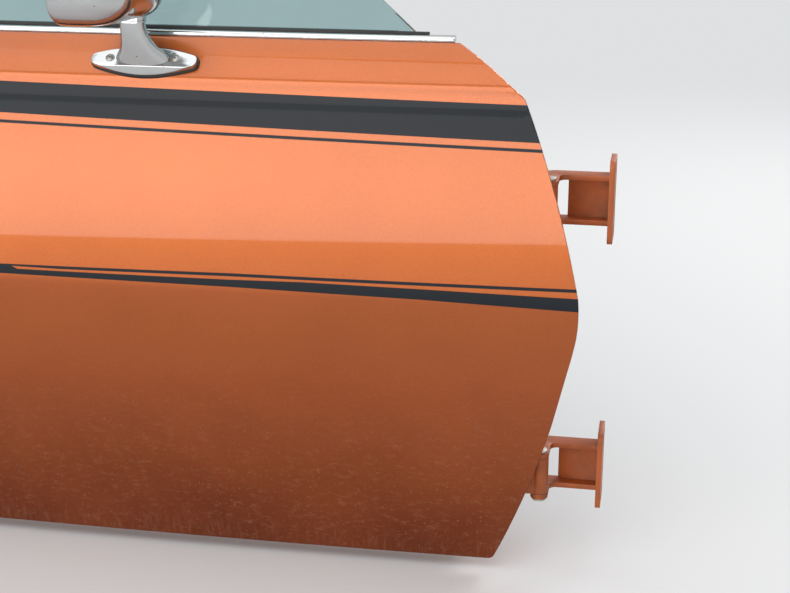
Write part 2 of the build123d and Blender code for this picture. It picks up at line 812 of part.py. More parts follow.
# Hinges: a leaf on the pillar with two ears, a leaf on the shut face with a barrel, and a pin
ear_base = barrel_height / 2 + side_gap
web_rear = pin_x + barrel_radius + arm_web_gap
for name, level in (("upper", 0.0), ("lower", -hinge_spacing)):
    with BuildPart() as pillar_leaf:
        for foot in (level + ear_base, level - ear_base - ear):
            with BuildSketch(Plane.XY.offset(foot)):
                with BuildLine():
                    FilletPolyline(
                        (-leaf / 2, arm_inner_y),
                        (pin_x + barrel_radius, arm_inner_y),
                        (pin_x + barrel_radius, pin_y),
                        (pin_x - barrel_radius, pin_y),
                        (pin_x - barrel_radius, arm_outer_y),
                        (-leaf / 2, arm_outer_y),
                        radius=(0.0, arm_inner_bend, 0.0, 0.0, arm_outer_bend, 0.0),
                        close=True,
                    )
                make_face()
                with Locations((pin_x, pin_y)):
                    Circle(barrel_radius)
                    Circle(pin_radius + pin_fit, mode=Mode.SUBTRACT)
            extrude(amount=ear)
        with BuildSketch(Plane.XY.offset(level - ear_base)):
            with Locations(((web_rear - leaf / 2) / 2, arm_outer_y - leaf / 2)):
                Rectangle(-leaf / 2 - web_rear, leaf)
        extrude(amount=2 * ear_base)
        with BuildSketch(Plane.YZ.offset(-leaf)):
            with Locations((0, level)):
                RectangleRounded(pillar_leaf_width, pillar_leaf_height, leaf_corner)
            with Locations((0, level)), GridLocations(bolt_gap_y, bolt_gap_z, 2, 2):
                Circle(bolt_hole_radius, mode=Mode.SUBTRACT)
        extrude(amount=leaf)
    pillar_leaf.part.label = f"{name}_pillar_leaf"
    export_step(pillar_leaf.part, f"parts/{name}_pillar_leaf.step")

    with BuildPart() as hinge_pin:
        with BuildSketch(Plane.XY.offset(level - ear_base - ear - pin_head)):
            with Locations((pin_x, pin_y)):
                Circle(pin_radius)
        extrude(amount=2 * (ear_base + ear + pin_head))
        for foot in (level + ear_base + ear, level - ear_base - ear - pin_head):
            with BuildSketch(Plane.XY.offset(foot)):
                with Locations((pin_x, pin_y)):
                    Circle(pin_head_radius)
            extrude(amount=pin_head)
    hinge_pin.part.label = f"{name}_hinge_pin"
    export_step(hinge_pin.part, f"parts/{name}_hinge_pin.step")

    with BuildPart() as door_leaf:
        wall_x = tip_x + shut_x
        leaf_y = face_y + door_leaf_depth
        with BuildSketch(Plane.YZ.offset(wall_x)):
            with Locations((leaf_y, level)):
                RectangleRounded(door_leaf_width, door_leaf_height, leaf_corner)
        extrude(amount=leaf)
        with BuildSketch(Plane.XY.offset(level - barrel_height / 2)):
            with BuildLine():
                FilletPolyline(
                    (wall_x + leaf / 2, pin_y - door_arm),
                    (wall_x + leaf / 2, pin_y + door_arm),
                    (pin_x, pin_y + barrel_radius - barrel_shoulder),
                    (pin_x, pin_y - barrel_radius + barrel_shoulder),
                    radius=0.0,
                    close=True,
                )
            make_face()
            with Locations((pin_x, pin_y)):
                Circle(barrel_radius)
        extrude(amount=barrel_height)
        with Locations((pin_x, pin_y, level)):
            Cylinder(pin_radius + running_gap, barrel_height + leaf, mode=Mode.SUBTRACT)
    door_leaf.part.label = f"{name}_door_leaf"
    export_step(door_leaf.part, f"parts/{name}_door_leaf.step")

# Latch behind the rear shut face, with a slotted fork
latch_x = rear_shut_x + shell_wall
with BuildPart() as latch_case:
    with BuildSketch(at_depth(ledge_depth - shell_wall)):
        with Locations((latch_x + latch_length / 2, mouth_z)):
            RectangleRounded(latch_length, latch_height, latch_corner)
    extrude(amount=latch_depth)
    with BuildSketch(at_depth(ledge_depth)):
        with Locations((rear_shut_x, mouth_z)):
            Rectangle(2 * mouth_reach, mouth_height)
    extrude(amount=ledge_depth - mouth_floor, mode=Mode.SUBTRACT)
    with BuildSketch(at_depth(ledge_depth)):
        with Locations((latch_x + fork_set + fork_wall / 2, mouth_z)):
            Rectangle(fork_wall + 2 * glass_gap, latch_height - 2 * latch_wall)
    extrude(amount=latch_depth - latch_wall, mode=Mode.SUBTRACT)
latch_case.part.label = "latch_case"
export_step(latch_case.part, "parts/latch_case.step")

with BuildPart() as latch_fork:
    with BuildSketch(
        Plane(origin=(tip_x + latch_x + fork_set, face_y, sill_z), x_dir=(0, 1, 0), z_dir=(1, 0, 0))
    ):
        with Locations((fork_depth, mouth_z - mouth_height / 2 - fork_drop)):
            Circle(fork_radius)
        with Locations((mouth_floor + fork_radius, mouth_z)):
            Rectangle(2 * fork_radius, mouth_height, mode=Mode.SUBTRACT)
        with Locations((fork_depth, mouth_z - mouth_height / 2 - fork_drop)):
            Circle(fork_bore, mode=Mode.SUBTRACT)
    extrude(amount=fork_wall)
latch_fork.part.label = "latch_fork"
export_step(latch_fork.part, "parts/latch_fork.step")

with BuildPart() as bump_stops:
    for height in (stop_low_z, stop_high_z):
        with BuildSketch(
            Plane(
                origin=(tip_x + rear_shut_x, face_y + ledge_depth - stop_inset, sill_z + height),
                z_dir=(-1, 0, 0),
            )
        ):
            Circle(stop_radius)
        extrude(amount=stop_height, taper=stop_taper)
bump_stops.part.label = "bump_stops"
export_step(bump_stops.part, "parts/bump_stops.step")

# Weather seal on the shell's ledge: front, foot and rear
with BuildPart() as door_seal:
    for start, rise, narrow in ((0, seal_step, 0), (seal_step, seal_height, seal_shoulder)):
        outer = ledge_width - seal_width - seal_margin + narrow
        extrude(shell_outline(ledge_depth + start, outer, shell_top_z), amount=start - rise)
    extrude(
        shell_outline(ledge_depth, ledge_width - seal_foot, shell_top_z + seal_step),
        amount=-seal_height,
        mode=Mode.SUBTRACT,
    )
door_seal.part.label = "door_seal"
export_step(door_seal.part, "parts/door_seal.step")

# Inner trim: padded panel, armrest, release handle, window crank and lock knob
with BuildPart() as trim_panel:
    extrude(
        shell_outline(shell_depth, ledge_width + trim_inset, shell_top_z - trim_top_gap),
        amount=-trim_wall,
    )
    chamfer(trim_panel.faces().sort_by(Axis.Y)[-1].edges(), trim_edge)
trim_panel.part.label = "trim_panel"
export_step(trim_panel.part, "parts/trim_panel.step")

trim_depth = shell_depth + trim_wall
with BuildPart() as armrest:
    with BuildSketch(Plane.XY.offset(sill_z + armrest_z)) as pad:
        with BuildLine():
            FilletPolyline(
                (tip_x + armrest_rear, face_y + trim_depth),
                (tip_x + armrest_front, face_y + trim_depth),
                (tip_x + armrest_front - armrest_nose, face_y + trim_depth + armrest_nose_reach),
                (tip_x + armrest_front - armrest_slope, face_y + trim_depth + armrest_reach),
                (tip_x + armrest_rear + armrest_tail, face_y + trim_depth + armrest_reach),
                radius=armrest_corners,
                close=True,
            )
        make_face()
    extrude(amount=armrest_height)
armrest.part.label = "armrest"
export_step(armrest.part, "parts/armrest.step")

with BuildPart() as release_escutcheon:
    with BuildSketch(at_depth(trim_depth)):
        with Locations((release_x, release_z)):
            RectangleRounded(*release_plate, release_plate_corner)
    extrude(amount=-release_plate_wall)
release_escutcheon.part.label = "release_escutcheon"
export_step(release_escutcheon.part, "parts/release_escutcheon.step")

with BuildPart() as release_handle:
    with BuildSketch(at_depth(trim_depth + release_plate_wall)):
        with Locations((release_x + release_pivot, release_z)):
            Circle(release_hub)
    extrude(amount=-release_hub_height)
    with BuildSketch(at_depth(trim_depth + release_plate_wall + release_hub_height)):
        with BuildLine():
            FilletPolyline(
                (release_x + release_front, release_z + release_front_half),
                (release_x + release_front, release_z - release_front_half),
                (release_x - release_rear, release_z - release_rear_half),
                (release_x - release_rear, release_z + release_rear_half),
                radius=release_corners,
                close=True,
            )
        make_face()
    extrude(amount=-release_wall)
release_handle.part.label = "release_handle"
export_step(release_handle.part, "parts/release_handle.step")

with BuildPart() as crank_escutcheon:
    with BuildSketch(at_depth(trim_depth)):
        with Locations((crank_x, crank_z)):
            Circle(crank_plate)
    extrude(amount=-crank_plate_wall, taper=crank_plate_taper)
crank_escutcheon.part.label = "crank_escutcheon"
export_step(crank_escutcheon.part, "parts/crank_escutcheon.step")

arm_foot = trim_depth + crank_plate_wall + crank_hub_height
with BuildPart() as crank_arm:
    with BuildSketch(at_depth(trim_depth + crank_plate_wall)):
        with Locations((crank_x, crank_z)):
            Circle(crank_hub)
    extrude(amount=-crank_hub_height)
    with BuildSketch(at_depth(arm_foot)):
        with BuildLine():
            Polyline(
                (crank_x, crank_z + crank_root_half),
                (crank_x, crank_z - crank_root_half),
                (crank_x + crank_length, crank_z - crank_tip),
                (crank_x + crank_length, crank_z + crank_tip),
                close=True,
            )
        make_face()
        with Locations((crank_x + crank_length, crank_z)):
            Circle(crank_tip)
        with Locations((crank_x, crank_z)):
            Circle(crank_hub)
    extrude(amount=-crank_wall)
crank_arm.part.label = "crank_arm"
export_step(crank_arm.part, "parts/crank_arm.step")

with BuildPart() as crank_knob:
    with BuildSketch(at_depth(arm_foot + crank_wall)):
        with Locations((crank_x + crank_length, crank_z)):
            Circle(crank_stud)
    extrude(amount=-crank_stud_height)
    with BuildSketch(at_depth(arm_foot + crank_wall + crank_stud_height)):
        with Locations((crank_x + crank_length, crank_z)):
            Circle(crank_grip)
    extrude(amount=-crank_grip_height)
    chamfer(crank_knob.faces().sort_by(Axis.Y)[-1].edges(), crank_grip_edge)
crank_knob.part.label = "crank_knob"
export_step(crank_knob.part, "parts/crank_knob.step")

lock_top = sill_z + shell_top_z + garnish_height
with BuildPart() as lock_knob:
    with BuildSketch(Plane.XY.offset(lock_top)):
        with Locations((tip_x + knob_x, face_y + knob_depth)):
            Circle(knob_collar)
    extrude(amount=knob_collar_height)
    with BuildSketch(Plane.XY.offset(lock_top + knob_collar_height)):
        with Locations((tip_x + knob_x, face_y + knob_depth)):
            Circle(knob_rod)
    extrude(amount=knob_rod_height)
    with BuildSketch(Plane.XY.offset(lock_top + knob_collar_height + knob_rod_height)):
        with Locations((tip_x + knob_x, face_y + knob_depth)):
            Circle(knob_radius)
    extrude(amount=knob_height)
    chamfer(lock_knob.faces().sort_by(Axis.Z)[-1].edges(), knob_edge)
lock_knob.part.label = "lock_knob"
export_step(lock_knob.part, "parts/lock_knob.step")
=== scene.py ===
"""Finish and fine shapes of a muscle car's right-hand front door, built round its CAD solids.

Sizes are in millimetres and read from the door's own side view: x runs forward from the tip of
the skin, z up from its lower edge, and depth is how far inboard of the body crease a point lies.
`row` turns such a place into the shared frame, in metres.
"""

import json
import logging
from collections.abc import Callable, Iterable, Sequence
from dataclasses import dataclass
from enum import Enum
from math import asin, cos, hypot, pi, radians, sin, sqrt, tan

import bmesh
import bpy
from bmesh.types import BMEdge, BMesh, BMFace
from bpy.types import Material, Node, NodeSocket, NodeTree, Object
from mathutils import Matrix, Vector

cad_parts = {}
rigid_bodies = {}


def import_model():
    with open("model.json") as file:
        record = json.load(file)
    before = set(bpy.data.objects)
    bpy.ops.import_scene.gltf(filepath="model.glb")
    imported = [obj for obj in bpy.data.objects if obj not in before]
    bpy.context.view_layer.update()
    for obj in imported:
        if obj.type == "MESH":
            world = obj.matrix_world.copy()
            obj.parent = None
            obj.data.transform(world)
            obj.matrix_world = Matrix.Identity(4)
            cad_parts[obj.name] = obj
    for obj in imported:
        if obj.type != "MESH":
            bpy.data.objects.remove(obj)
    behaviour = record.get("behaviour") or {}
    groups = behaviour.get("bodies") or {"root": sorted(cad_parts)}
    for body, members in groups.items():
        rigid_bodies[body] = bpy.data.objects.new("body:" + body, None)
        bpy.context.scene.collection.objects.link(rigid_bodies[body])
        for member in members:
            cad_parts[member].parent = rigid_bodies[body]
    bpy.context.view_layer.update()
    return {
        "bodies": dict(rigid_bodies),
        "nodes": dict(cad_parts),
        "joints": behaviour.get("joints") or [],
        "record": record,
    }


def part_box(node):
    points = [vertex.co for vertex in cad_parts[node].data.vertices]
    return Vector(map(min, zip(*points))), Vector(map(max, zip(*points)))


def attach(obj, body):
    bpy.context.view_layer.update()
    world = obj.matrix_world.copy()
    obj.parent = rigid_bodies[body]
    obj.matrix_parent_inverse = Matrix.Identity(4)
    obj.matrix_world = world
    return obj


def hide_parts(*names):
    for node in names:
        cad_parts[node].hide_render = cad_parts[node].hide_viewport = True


LOG = logging.getLogger("door")
TIP_X, FACE_Y, SILL_Z = -30.0, -92.0, -430.0
CREASE_Z, STEP_Z, CREST_Z, BELT_Z = 329.0, 532.0, 560.0, 600.0
MM = 0.001
CLOSE, WELD = 0.01 * MM, 0.02 * MM
SMOOTH_ANGLE = radians(32)
Point = tuple[float, float]
Colour = tuple[float, ...]
Sides = list[tuple[Vector, Vector]]


class Body(Enum):
    """The two bodies that the hinge joins."""

    DOOR = "door"
    PILLAR = "pillar_leaves"


class Slot(Enum):
    """Material slots of the record."""

    PAINT = "body_paint"
    SHELL = "shell_paint"
    HINGE = "hinge_paint"
    CHROME = "bright_trim"
    STEEL = "steel"
    WINDOW = "window"
    REFLECTOR = "reflector"
    RUBBER = "seal_rubber"
    VINYL = "trim_vinyl"
    SATIN_BLACK = "black_moulding"
    KNOB = "knob_plastic"


def row(x: float, depth: float, z: float) -> Vector:
    """Place in the shared frame, in metres, of a point of the side view."""
    return Vector((TIP_X + x, FACE_Y + depth, SILL_Z + z)) * MM


def arc_radius(rise: float, run: float, bulge: float) -> float:
    """Radius of an arc from its chord and its bulge."""
    return ((rise**2 + run**2) / 4 + bulge**2) / (2 * bulge)


def frame_from(origin: Vector, x: Vector, y: Vector, z: Vector) -> Matrix:
    """Matrix of a frame given by its origin and axes."""
    frame = Matrix((x, y, z)).transposed().to_4x4()
    frame.translation = origin
    return frame


def shifted(frame: Matrix, x: float = 0.0, y: float = 0.0, z: float = 0.0) -> Matrix:
    """A frame moved along its own axes, in millimetres."""
    return frame @ Matrix.Translation((x * MM, y * MM, z * MM))


@dataclass(frozen=True)
class BodySide:
    """The body side: a section of arcs, bowed along the car."""

    bow_x: float = -500.0
    bow_radius: float = 15000.0
    # Height, depth, and bulge of the arc that ends there.
    stations: tuple[tuple[float, float, float], ...] = (
        (-30.0, 45.0, 0.0),
        (CREASE_Z, 0.0, 8.3),
        (STEP_Z, 30.0, 5.5),
        (CREST_Z, 33.1, -1.0),
        (613.0, 87.0, 5.4),
    )

    @property
    def axis_point(self) -> Vector:
        """A point on the bow's upright axis, in metres."""
        return row(self.bow_x, self.bow_radius, 0)

    def turn(self, x: float) -> float:
        """Turn of the section at a station, in radians."""
        return asin((x - self.bow_x) / self.bow_radius)

    def arc(self, height: float) -> Point:
        """Depth of the face at a height on the bow's own section, and its lean in radians."""
        for (z0, d0, _), (z1, d1, bulge) in zip(self.stations, self.stations[1:]):
            if height <= z1:
                break
        chord = hypot(z1 - z0, d1 - d0)
        radius = arc_radius(z1 - z0, d1 - d0, bulge)
        middle_d = (d0 + d1) / 2 + (radius - bulge) * (z1 - z0) / chord
        middle_z = (z0 + z1) / 2 - (radius - bulge) * (d1 - d0) / chord
        lean = asin((height - middle_z) / radius)
        return middle_d - radius * cos(lean), lean

    def at_station(self, x: float, depth: float, z: float) -> Vector:
        """Place in the shared frame of a point of the section at a station."""
        turn = self.turn(x)
        reach = self.bow_radius - depth
        return row(self.bow_x + reach * sin(turn), self.bow_radius - reach * cos(turn), z)

    def seat(self, x: float, height: float, proud: float = 0.0) -> Matrix:
        """Frame on the surface, in metres: x along the car, y up the face, z straight off it.

        Args:
            x: Station of the seat.
            height: Height of the seat above the lower edge.
            proud: How far off the face the frame's origin stands.

        Returns:
            A matrix from the seat's frame to the shared one.
        """
        depth, lean = self.arc(height)
        reach = self.bow_radius - depth
        turn = asin((x - self.bow_x) / reach)
        along = Vector((cos(turn), sin(turn), 0))
        out = Vector((sin(turn) * cos(lean), -cos(turn) * cos(lean), sin(lean)))
        origin = row(x, self.bow_radius - reach * cos(turn), height) + out * proud * MM
        return frame_from(origin, along, out.cross(along), out)


SIDE = BodySide()


# ---------------------------------------------------------------- materials


class Graph:
    """A node tree, with short calls for the nodes that the finishes use."""

    def __init__(self, tree: NodeTree) -> None:
        """Wraps a material's tree or a group's."""
        self.tree = tree

    def feed(self, socket: NodeSocket, value: object) -> None:
        """Links a socket to an output, or sets its value."""
        if isinstance(value, NodeSocket):
            self.tree.links.new(value, socket)
        else:
            socket.default_value = value

    def node(self, kind: str, settings: dict | None = None, **sockets: object) -> Node:
        """Adds a node.

        Args:
            kind: The node's type, without its leading ShaderNode.
            settings: The node's own properties.
            sockets: Values or links by socket name, with _ for a space.

        Returns:
            The new node.
        """
        made = self.tree.nodes.new("ShaderNode" + kind)
        for name, value in (settings or {}).items():
            setattr(made, name, value)
        for name, value in sockets.items():
            self.feed(made.inputs[name.replace("_", " ")], value)
        return made

    def _in_order(self, made: Node, values: Sequence[object], output: int = 0) -> NodeSocket:
        """Feeds a node's first sockets, and gives one of its outputs."""
        for socket, value in zip(made.inputs, values):
            self.feed(socket, value)
        return made.outputs[output]

    def math(self, operation: str, *values: object) -> NodeSocket:
        """Output of a Math node on up to three values."""
        return self._in_order(self.node("Math", {"operation": operation}), values)

    def vector(self, operation: str, *values: object, output: int = 0) -> NodeSocket:
        """Output of a VectorMath node: 0 is its vector, 1 its value."""
        return self._in_order(self.node("VectorMath", {"operation": operation}), values, output)

    def times(self, *values: object) -> NodeSocket:
        """Product of two values, plus a third where there is one."""
        return self.math("MULTIPLY_ADD" if len(values) > 2 else "MULTIPLY", *values)

    def scaled(self, where: object, factor: object) -> NodeSocket:
        """Coordinates times one factor."""
        made = self.node("VectorMath", {"operation": "SCALE"}, Vector=where, Scale=factor)
        return made.outputs[0]

    def mix(self, share: object, first: object, second: object) -> NodeSocket:
        """Output of a colour Mix node."""
        made = self.node("Mix", {"data_type": "RGBA"})
        for index, value in ((0, share), (6, first), (7, second)):
            self.feed(made.inputs[index], value)
        return made.outputs[2]

    def ramp(
        self, value: object, low: float, high: float, to: Point = (0, 1), kind: str = "SMOOTHSTEP",
    ) -> NodeSocket:
        """A value eased from one range to another."""
        made = self.node(
            "MapRange", {"interpolation_type": kind},
            Value=value, From_Min=low, From_Max=high, To_Min=to[0], To_Max=to[1],
        )
        return made.outputs[0]

    def noise(
        self, scale: float, where: object, detail: float = 3.0, rough: float = 0.55,
    ) -> NodeSocket:
        """Factor of a Noise texture."""
        made = self.node("TexNoise", Vector=where, Scale=scale, Detail=detail, Roughness=rough)
        return made.outputs[0]

    def group(self, tree: NodeTree, **sockets: object) -> bpy.types.NodeOutputs:
        """Outputs of a node group placed in the tree."""
        return self.node("Group", {"node_tree": tree}, **sockets).outputs

    def bump(
        self, height: object, distance: float, strength: float = 1.0, **normal: object,
    ) -> NodeSocket:
        """Normal of a Bump node, its distance in metres."""
        made = self.node("Bump", Height=height, Distance=distance, Strength=strength, **normal)
        return made.outputs[0]


class GroupTree(Graph):
    """A node group with named inputs and outputs."""

    def __init__(self, name: str, outputs: Iterable[str], **values: float) -> None:
        """Makes the group, whose first input takes coordinates.

        Args:
            name: The group's name.
            outputs: Names of its outputs.
            values: Its other inputs, each with its value.
        """
        super().__init__(bpy.data.node_groups.new(name, "ShaderNodeTree"))
        face = self.tree.interface
        face.new_socket("Where", in_out="INPUT", socket_type="NodeSocketVector")
        for label, value in values.items():
            made = face.new_socket(label, in_out="INPUT", socket_type="NodeSocketFloat")
            made.default_value = value
        for label in outputs:
            face.new_socket(label, in_out="OUTPUT", socket_type="NodeSocketFloat")
        self.source = self.tree.nodes.new("NodeGroupInput").outputs
        self.sink = self.tree.nodes.new("NodeGroupOutput").inputs
        self.where = self.source["Where"]

    def give(self, **outputs: object) -> NodeTree:
        """Feeds the group's outputs by name, and returns its tree."""
        for label, value in outputs.items():
            self.feed(self.sink[label], value)
        return self.tree


@dataclass(frozen=True)
class Effects:
    """The node groups that several finishes share."""

    specks: NodeTree
    scuffs: NodeTree
    edges: NodeTree
    grain: NodeTree

    @classmethod
    def build(cls) -> "Effects":
        """Makes the four groups."""
        return cls(cls._specks(), cls._scuffs(), cls._edges(), cls._grain())

    @staticmethod
    def _specks() -> NodeTree:
        """Small round dots, scattered by cell: dust or pits."""
        group = GroupTree("Specks", ("Mask", "Shade"), Scale=400.0, Size=0.3, Share=0.2)
        source = group.source
        cells = group.node("TexVoronoi", Vector=group.where, Scale=source["Scale"]).outputs
        chance, spread, shade = group.node("SeparateColor", Color=cells["Color"]).outputs
        size = group.times(source["Size"], group.math("ADD", spread, 0.35))
        inside = group.math("LESS_THAN", cells["Distance"], size)
        chosen = group.math("LESS_THAN", chance, source["Share"])
        return group.give(Mask=group.times(inside, chosen), Shade=shade)

    @staticmethod
    def _scuffs() -> NodeTree:
        """Handling marks: broad smears and fine hairlines."""
        group = GroupTree("Scuffs", ("Smear", "Hairline"), Scale=14.0, Stretch=9.0)
        smear = group.noise(1.0, group.scaled(group.where, group.source["Scale"]), 5.0, 0.6)
        pull = group.node("CombineXYZ", X=group.source["Stretch"], Y=90.0, Z=110.0).outputs[0]
        hair = group.noise(6.0, group.vector("MULTIPLY", group.where, pull), 8.0, 0.75)
        return group.give(
            Smear=group.ramp(smear, 0.35, 0.75), Hairline=group.ramp(hair, 0.52, 0.64),
        )

    @staticmethod
    def _edges() -> NodeTree:
        """Rubbed edges, and inner corners darkened as painted shade with soiling, from the shape
        itself.
        """
        group = GroupTree("RubbedEdges", ("Rubbed", "Grimy"), Radius=0.001, Breakup=60.0)
        rough = group.noise(1.0, group.scaled(group.where, group.source["Breakup"]), 5.0, 0.65)
        rounded = group.node("Bevel", {"samples": 4}, Radius=group.source["Radius"]).outputs[0]
        normal = group.node("NewGeometry").outputs["Normal"]
        turned = group.ramp(group.vector("DOT_PRODUCT", rounded, normal, output=1), 0.995, 0.93)
        air = group.node("AmbientOcclusion", {"samples": 4}, Distance=0.012).outputs["AO"]
        free = group.times(turned, group.ramp(air, 0.55, 0.9))
        # Occluded hollows are darkened: painted shade, broken up like soiling.
        hollow_shade = group.ramp(air, 0.8, 0.35)
        return group.give(
            Rubbed=group.times(free, group.ramp(rough, 0.40, 0.62)),
            Grimy=group.times(hollow_shade, group.ramp(rough, 0.25, 0.6)),
        )

    @staticmethod
    def _grain() -> NodeTree:
        """Pressed leather grain: cells with creases between them."""
        group = GroupTree("Grain", ("Height", "Crease"), Scale=520.0)
        where = group.where
        bend = group.node("TexNoise", Vector=where, Scale=160.0, Detail=2.0).outputs["Color"]
        bent = group.vector("MULTIPLY_ADD", bend, (0.003, 0.003, 0.003), where)
        cells = group.node(
            "TexVoronoi", {"feature": "DISTANCE_TO_EDGE"}, Vector=bent, Scale=group.source["Scale"],
        )
        raised = group.ramp(cells.outputs["Distance"], 0.0, 0.22)
        height = group.times(group.noise(1900.0, where, 2.0), 0.25, raised)
        return group.give(Height=height, Crease=group.math("SUBTRACT", 1.0, raised))


@dataclass(frozen=True)
class Stripe:
    """A painted stripe between two lines given by points of the side view, x first.

    Its edges are soft over twice its last value, in millimetres.
    """

    top: tuple[Point, ...]
    foot: tuple[Point, ...]
    soft: float = 0.35

    def mask(self, graph: Graph, x: object, z: object) -> NodeSocket:
        """Mask that is 1 on the stripe.

        Args:
            graph: The tree to build in.
            x: Distance along the side view, in millimetres.
            z: Height above the lower edge, in millimetres.

        Returns:
            The mask's socket.
        """
        over = graph.math("SUBTRACT", z, self._line(graph, x, self.foot))
        under = graph.math("SUBTRACT", self._line(graph, x, self.top), z)
        return graph.times(*(graph.ramp(gap, -self.soft, self.soft) for gap in (over, under)))

    @staticmethod
    def _line(graph: Graph, x: object, points: Sequence[Point]) -> NodeSocket:
        """Height of a broken line at x: the runs' rises, each one held past its own ends."""
        height: object = points[0][1]
        for (x0, z0), (x1, z1) in zip(points, points[1:]):
            height = graph.math("ADD", height, graph.ramp(x, x0, x1, (0.0, z1 - z0), "LINEAR"))
        return height


# The black band and the line under it, then the line and the tapered stripe along the crease.
STRIPES = (
    Stripe(
        ((-1300, 559.6), (-653, 550.0), (-72, 541.4), (40, 539.7)),
        ((-1300, 529.1), (-653, 515.5), (-72, 503.3), (40, 501.0)),
    ),
    Stripe(
        ((-1300, 519.6), (-652, 507.7), (-70, 496.7), (40, 494.6)),
        ((-1300, 516.4), (-652, 504.4), (-70, 493.3), (40, 491.2)),
    ),
    Stripe(
        ((-660, 345.0), (-588, 345.8), (-388, 348.4), (40, 348.9)),
        ((-660, 343.0), (-588, 342.4), (-388, 344.8), (40, 345.2)),
    ),
    Stripe(
        (
            (-1300, 342.4), (-900, 344.4), (-650, 344.6), (-640, 339.8), (-588, 339.9),
            (-388, 341.0), (-307, 342.4), (-173, 341.2), (-20, 338.6), (40, 337.4),
        ),
        (
            (-1300, 337.6), (-900, 335.2), (-656, 333.6), (-388, 332.5), (-173, 329.1),
            (-20, 324.0), (40, 322.0),
        ),
    ),
)


class Finish:
    """A material with its tree, coordinates and Principled shader."""

    effects: Effects

    def __init__(self, name: str, **sockets: object) -> None:
        """Makes the material and sets the shader's plain values."""
        self.material = bpy.data.materials.new(name)
        self.material.use_nodes = True
        self.graph = Graph(self.material.node_tree)
        self.shader = self.material.node_tree.nodes["Principled BSDF"]
        self.where = self.graph.node("TexCoord").outputs["Object"]
        self.set(**sockets)

    def set(self, **sockets: object) -> None:
        """Sets or links the shader's sockets by name, with _ for a space."""
        for label, value in sockets.items():
            self.graph.feed(self.shader.inputs[label.replace("_", " ")], value)


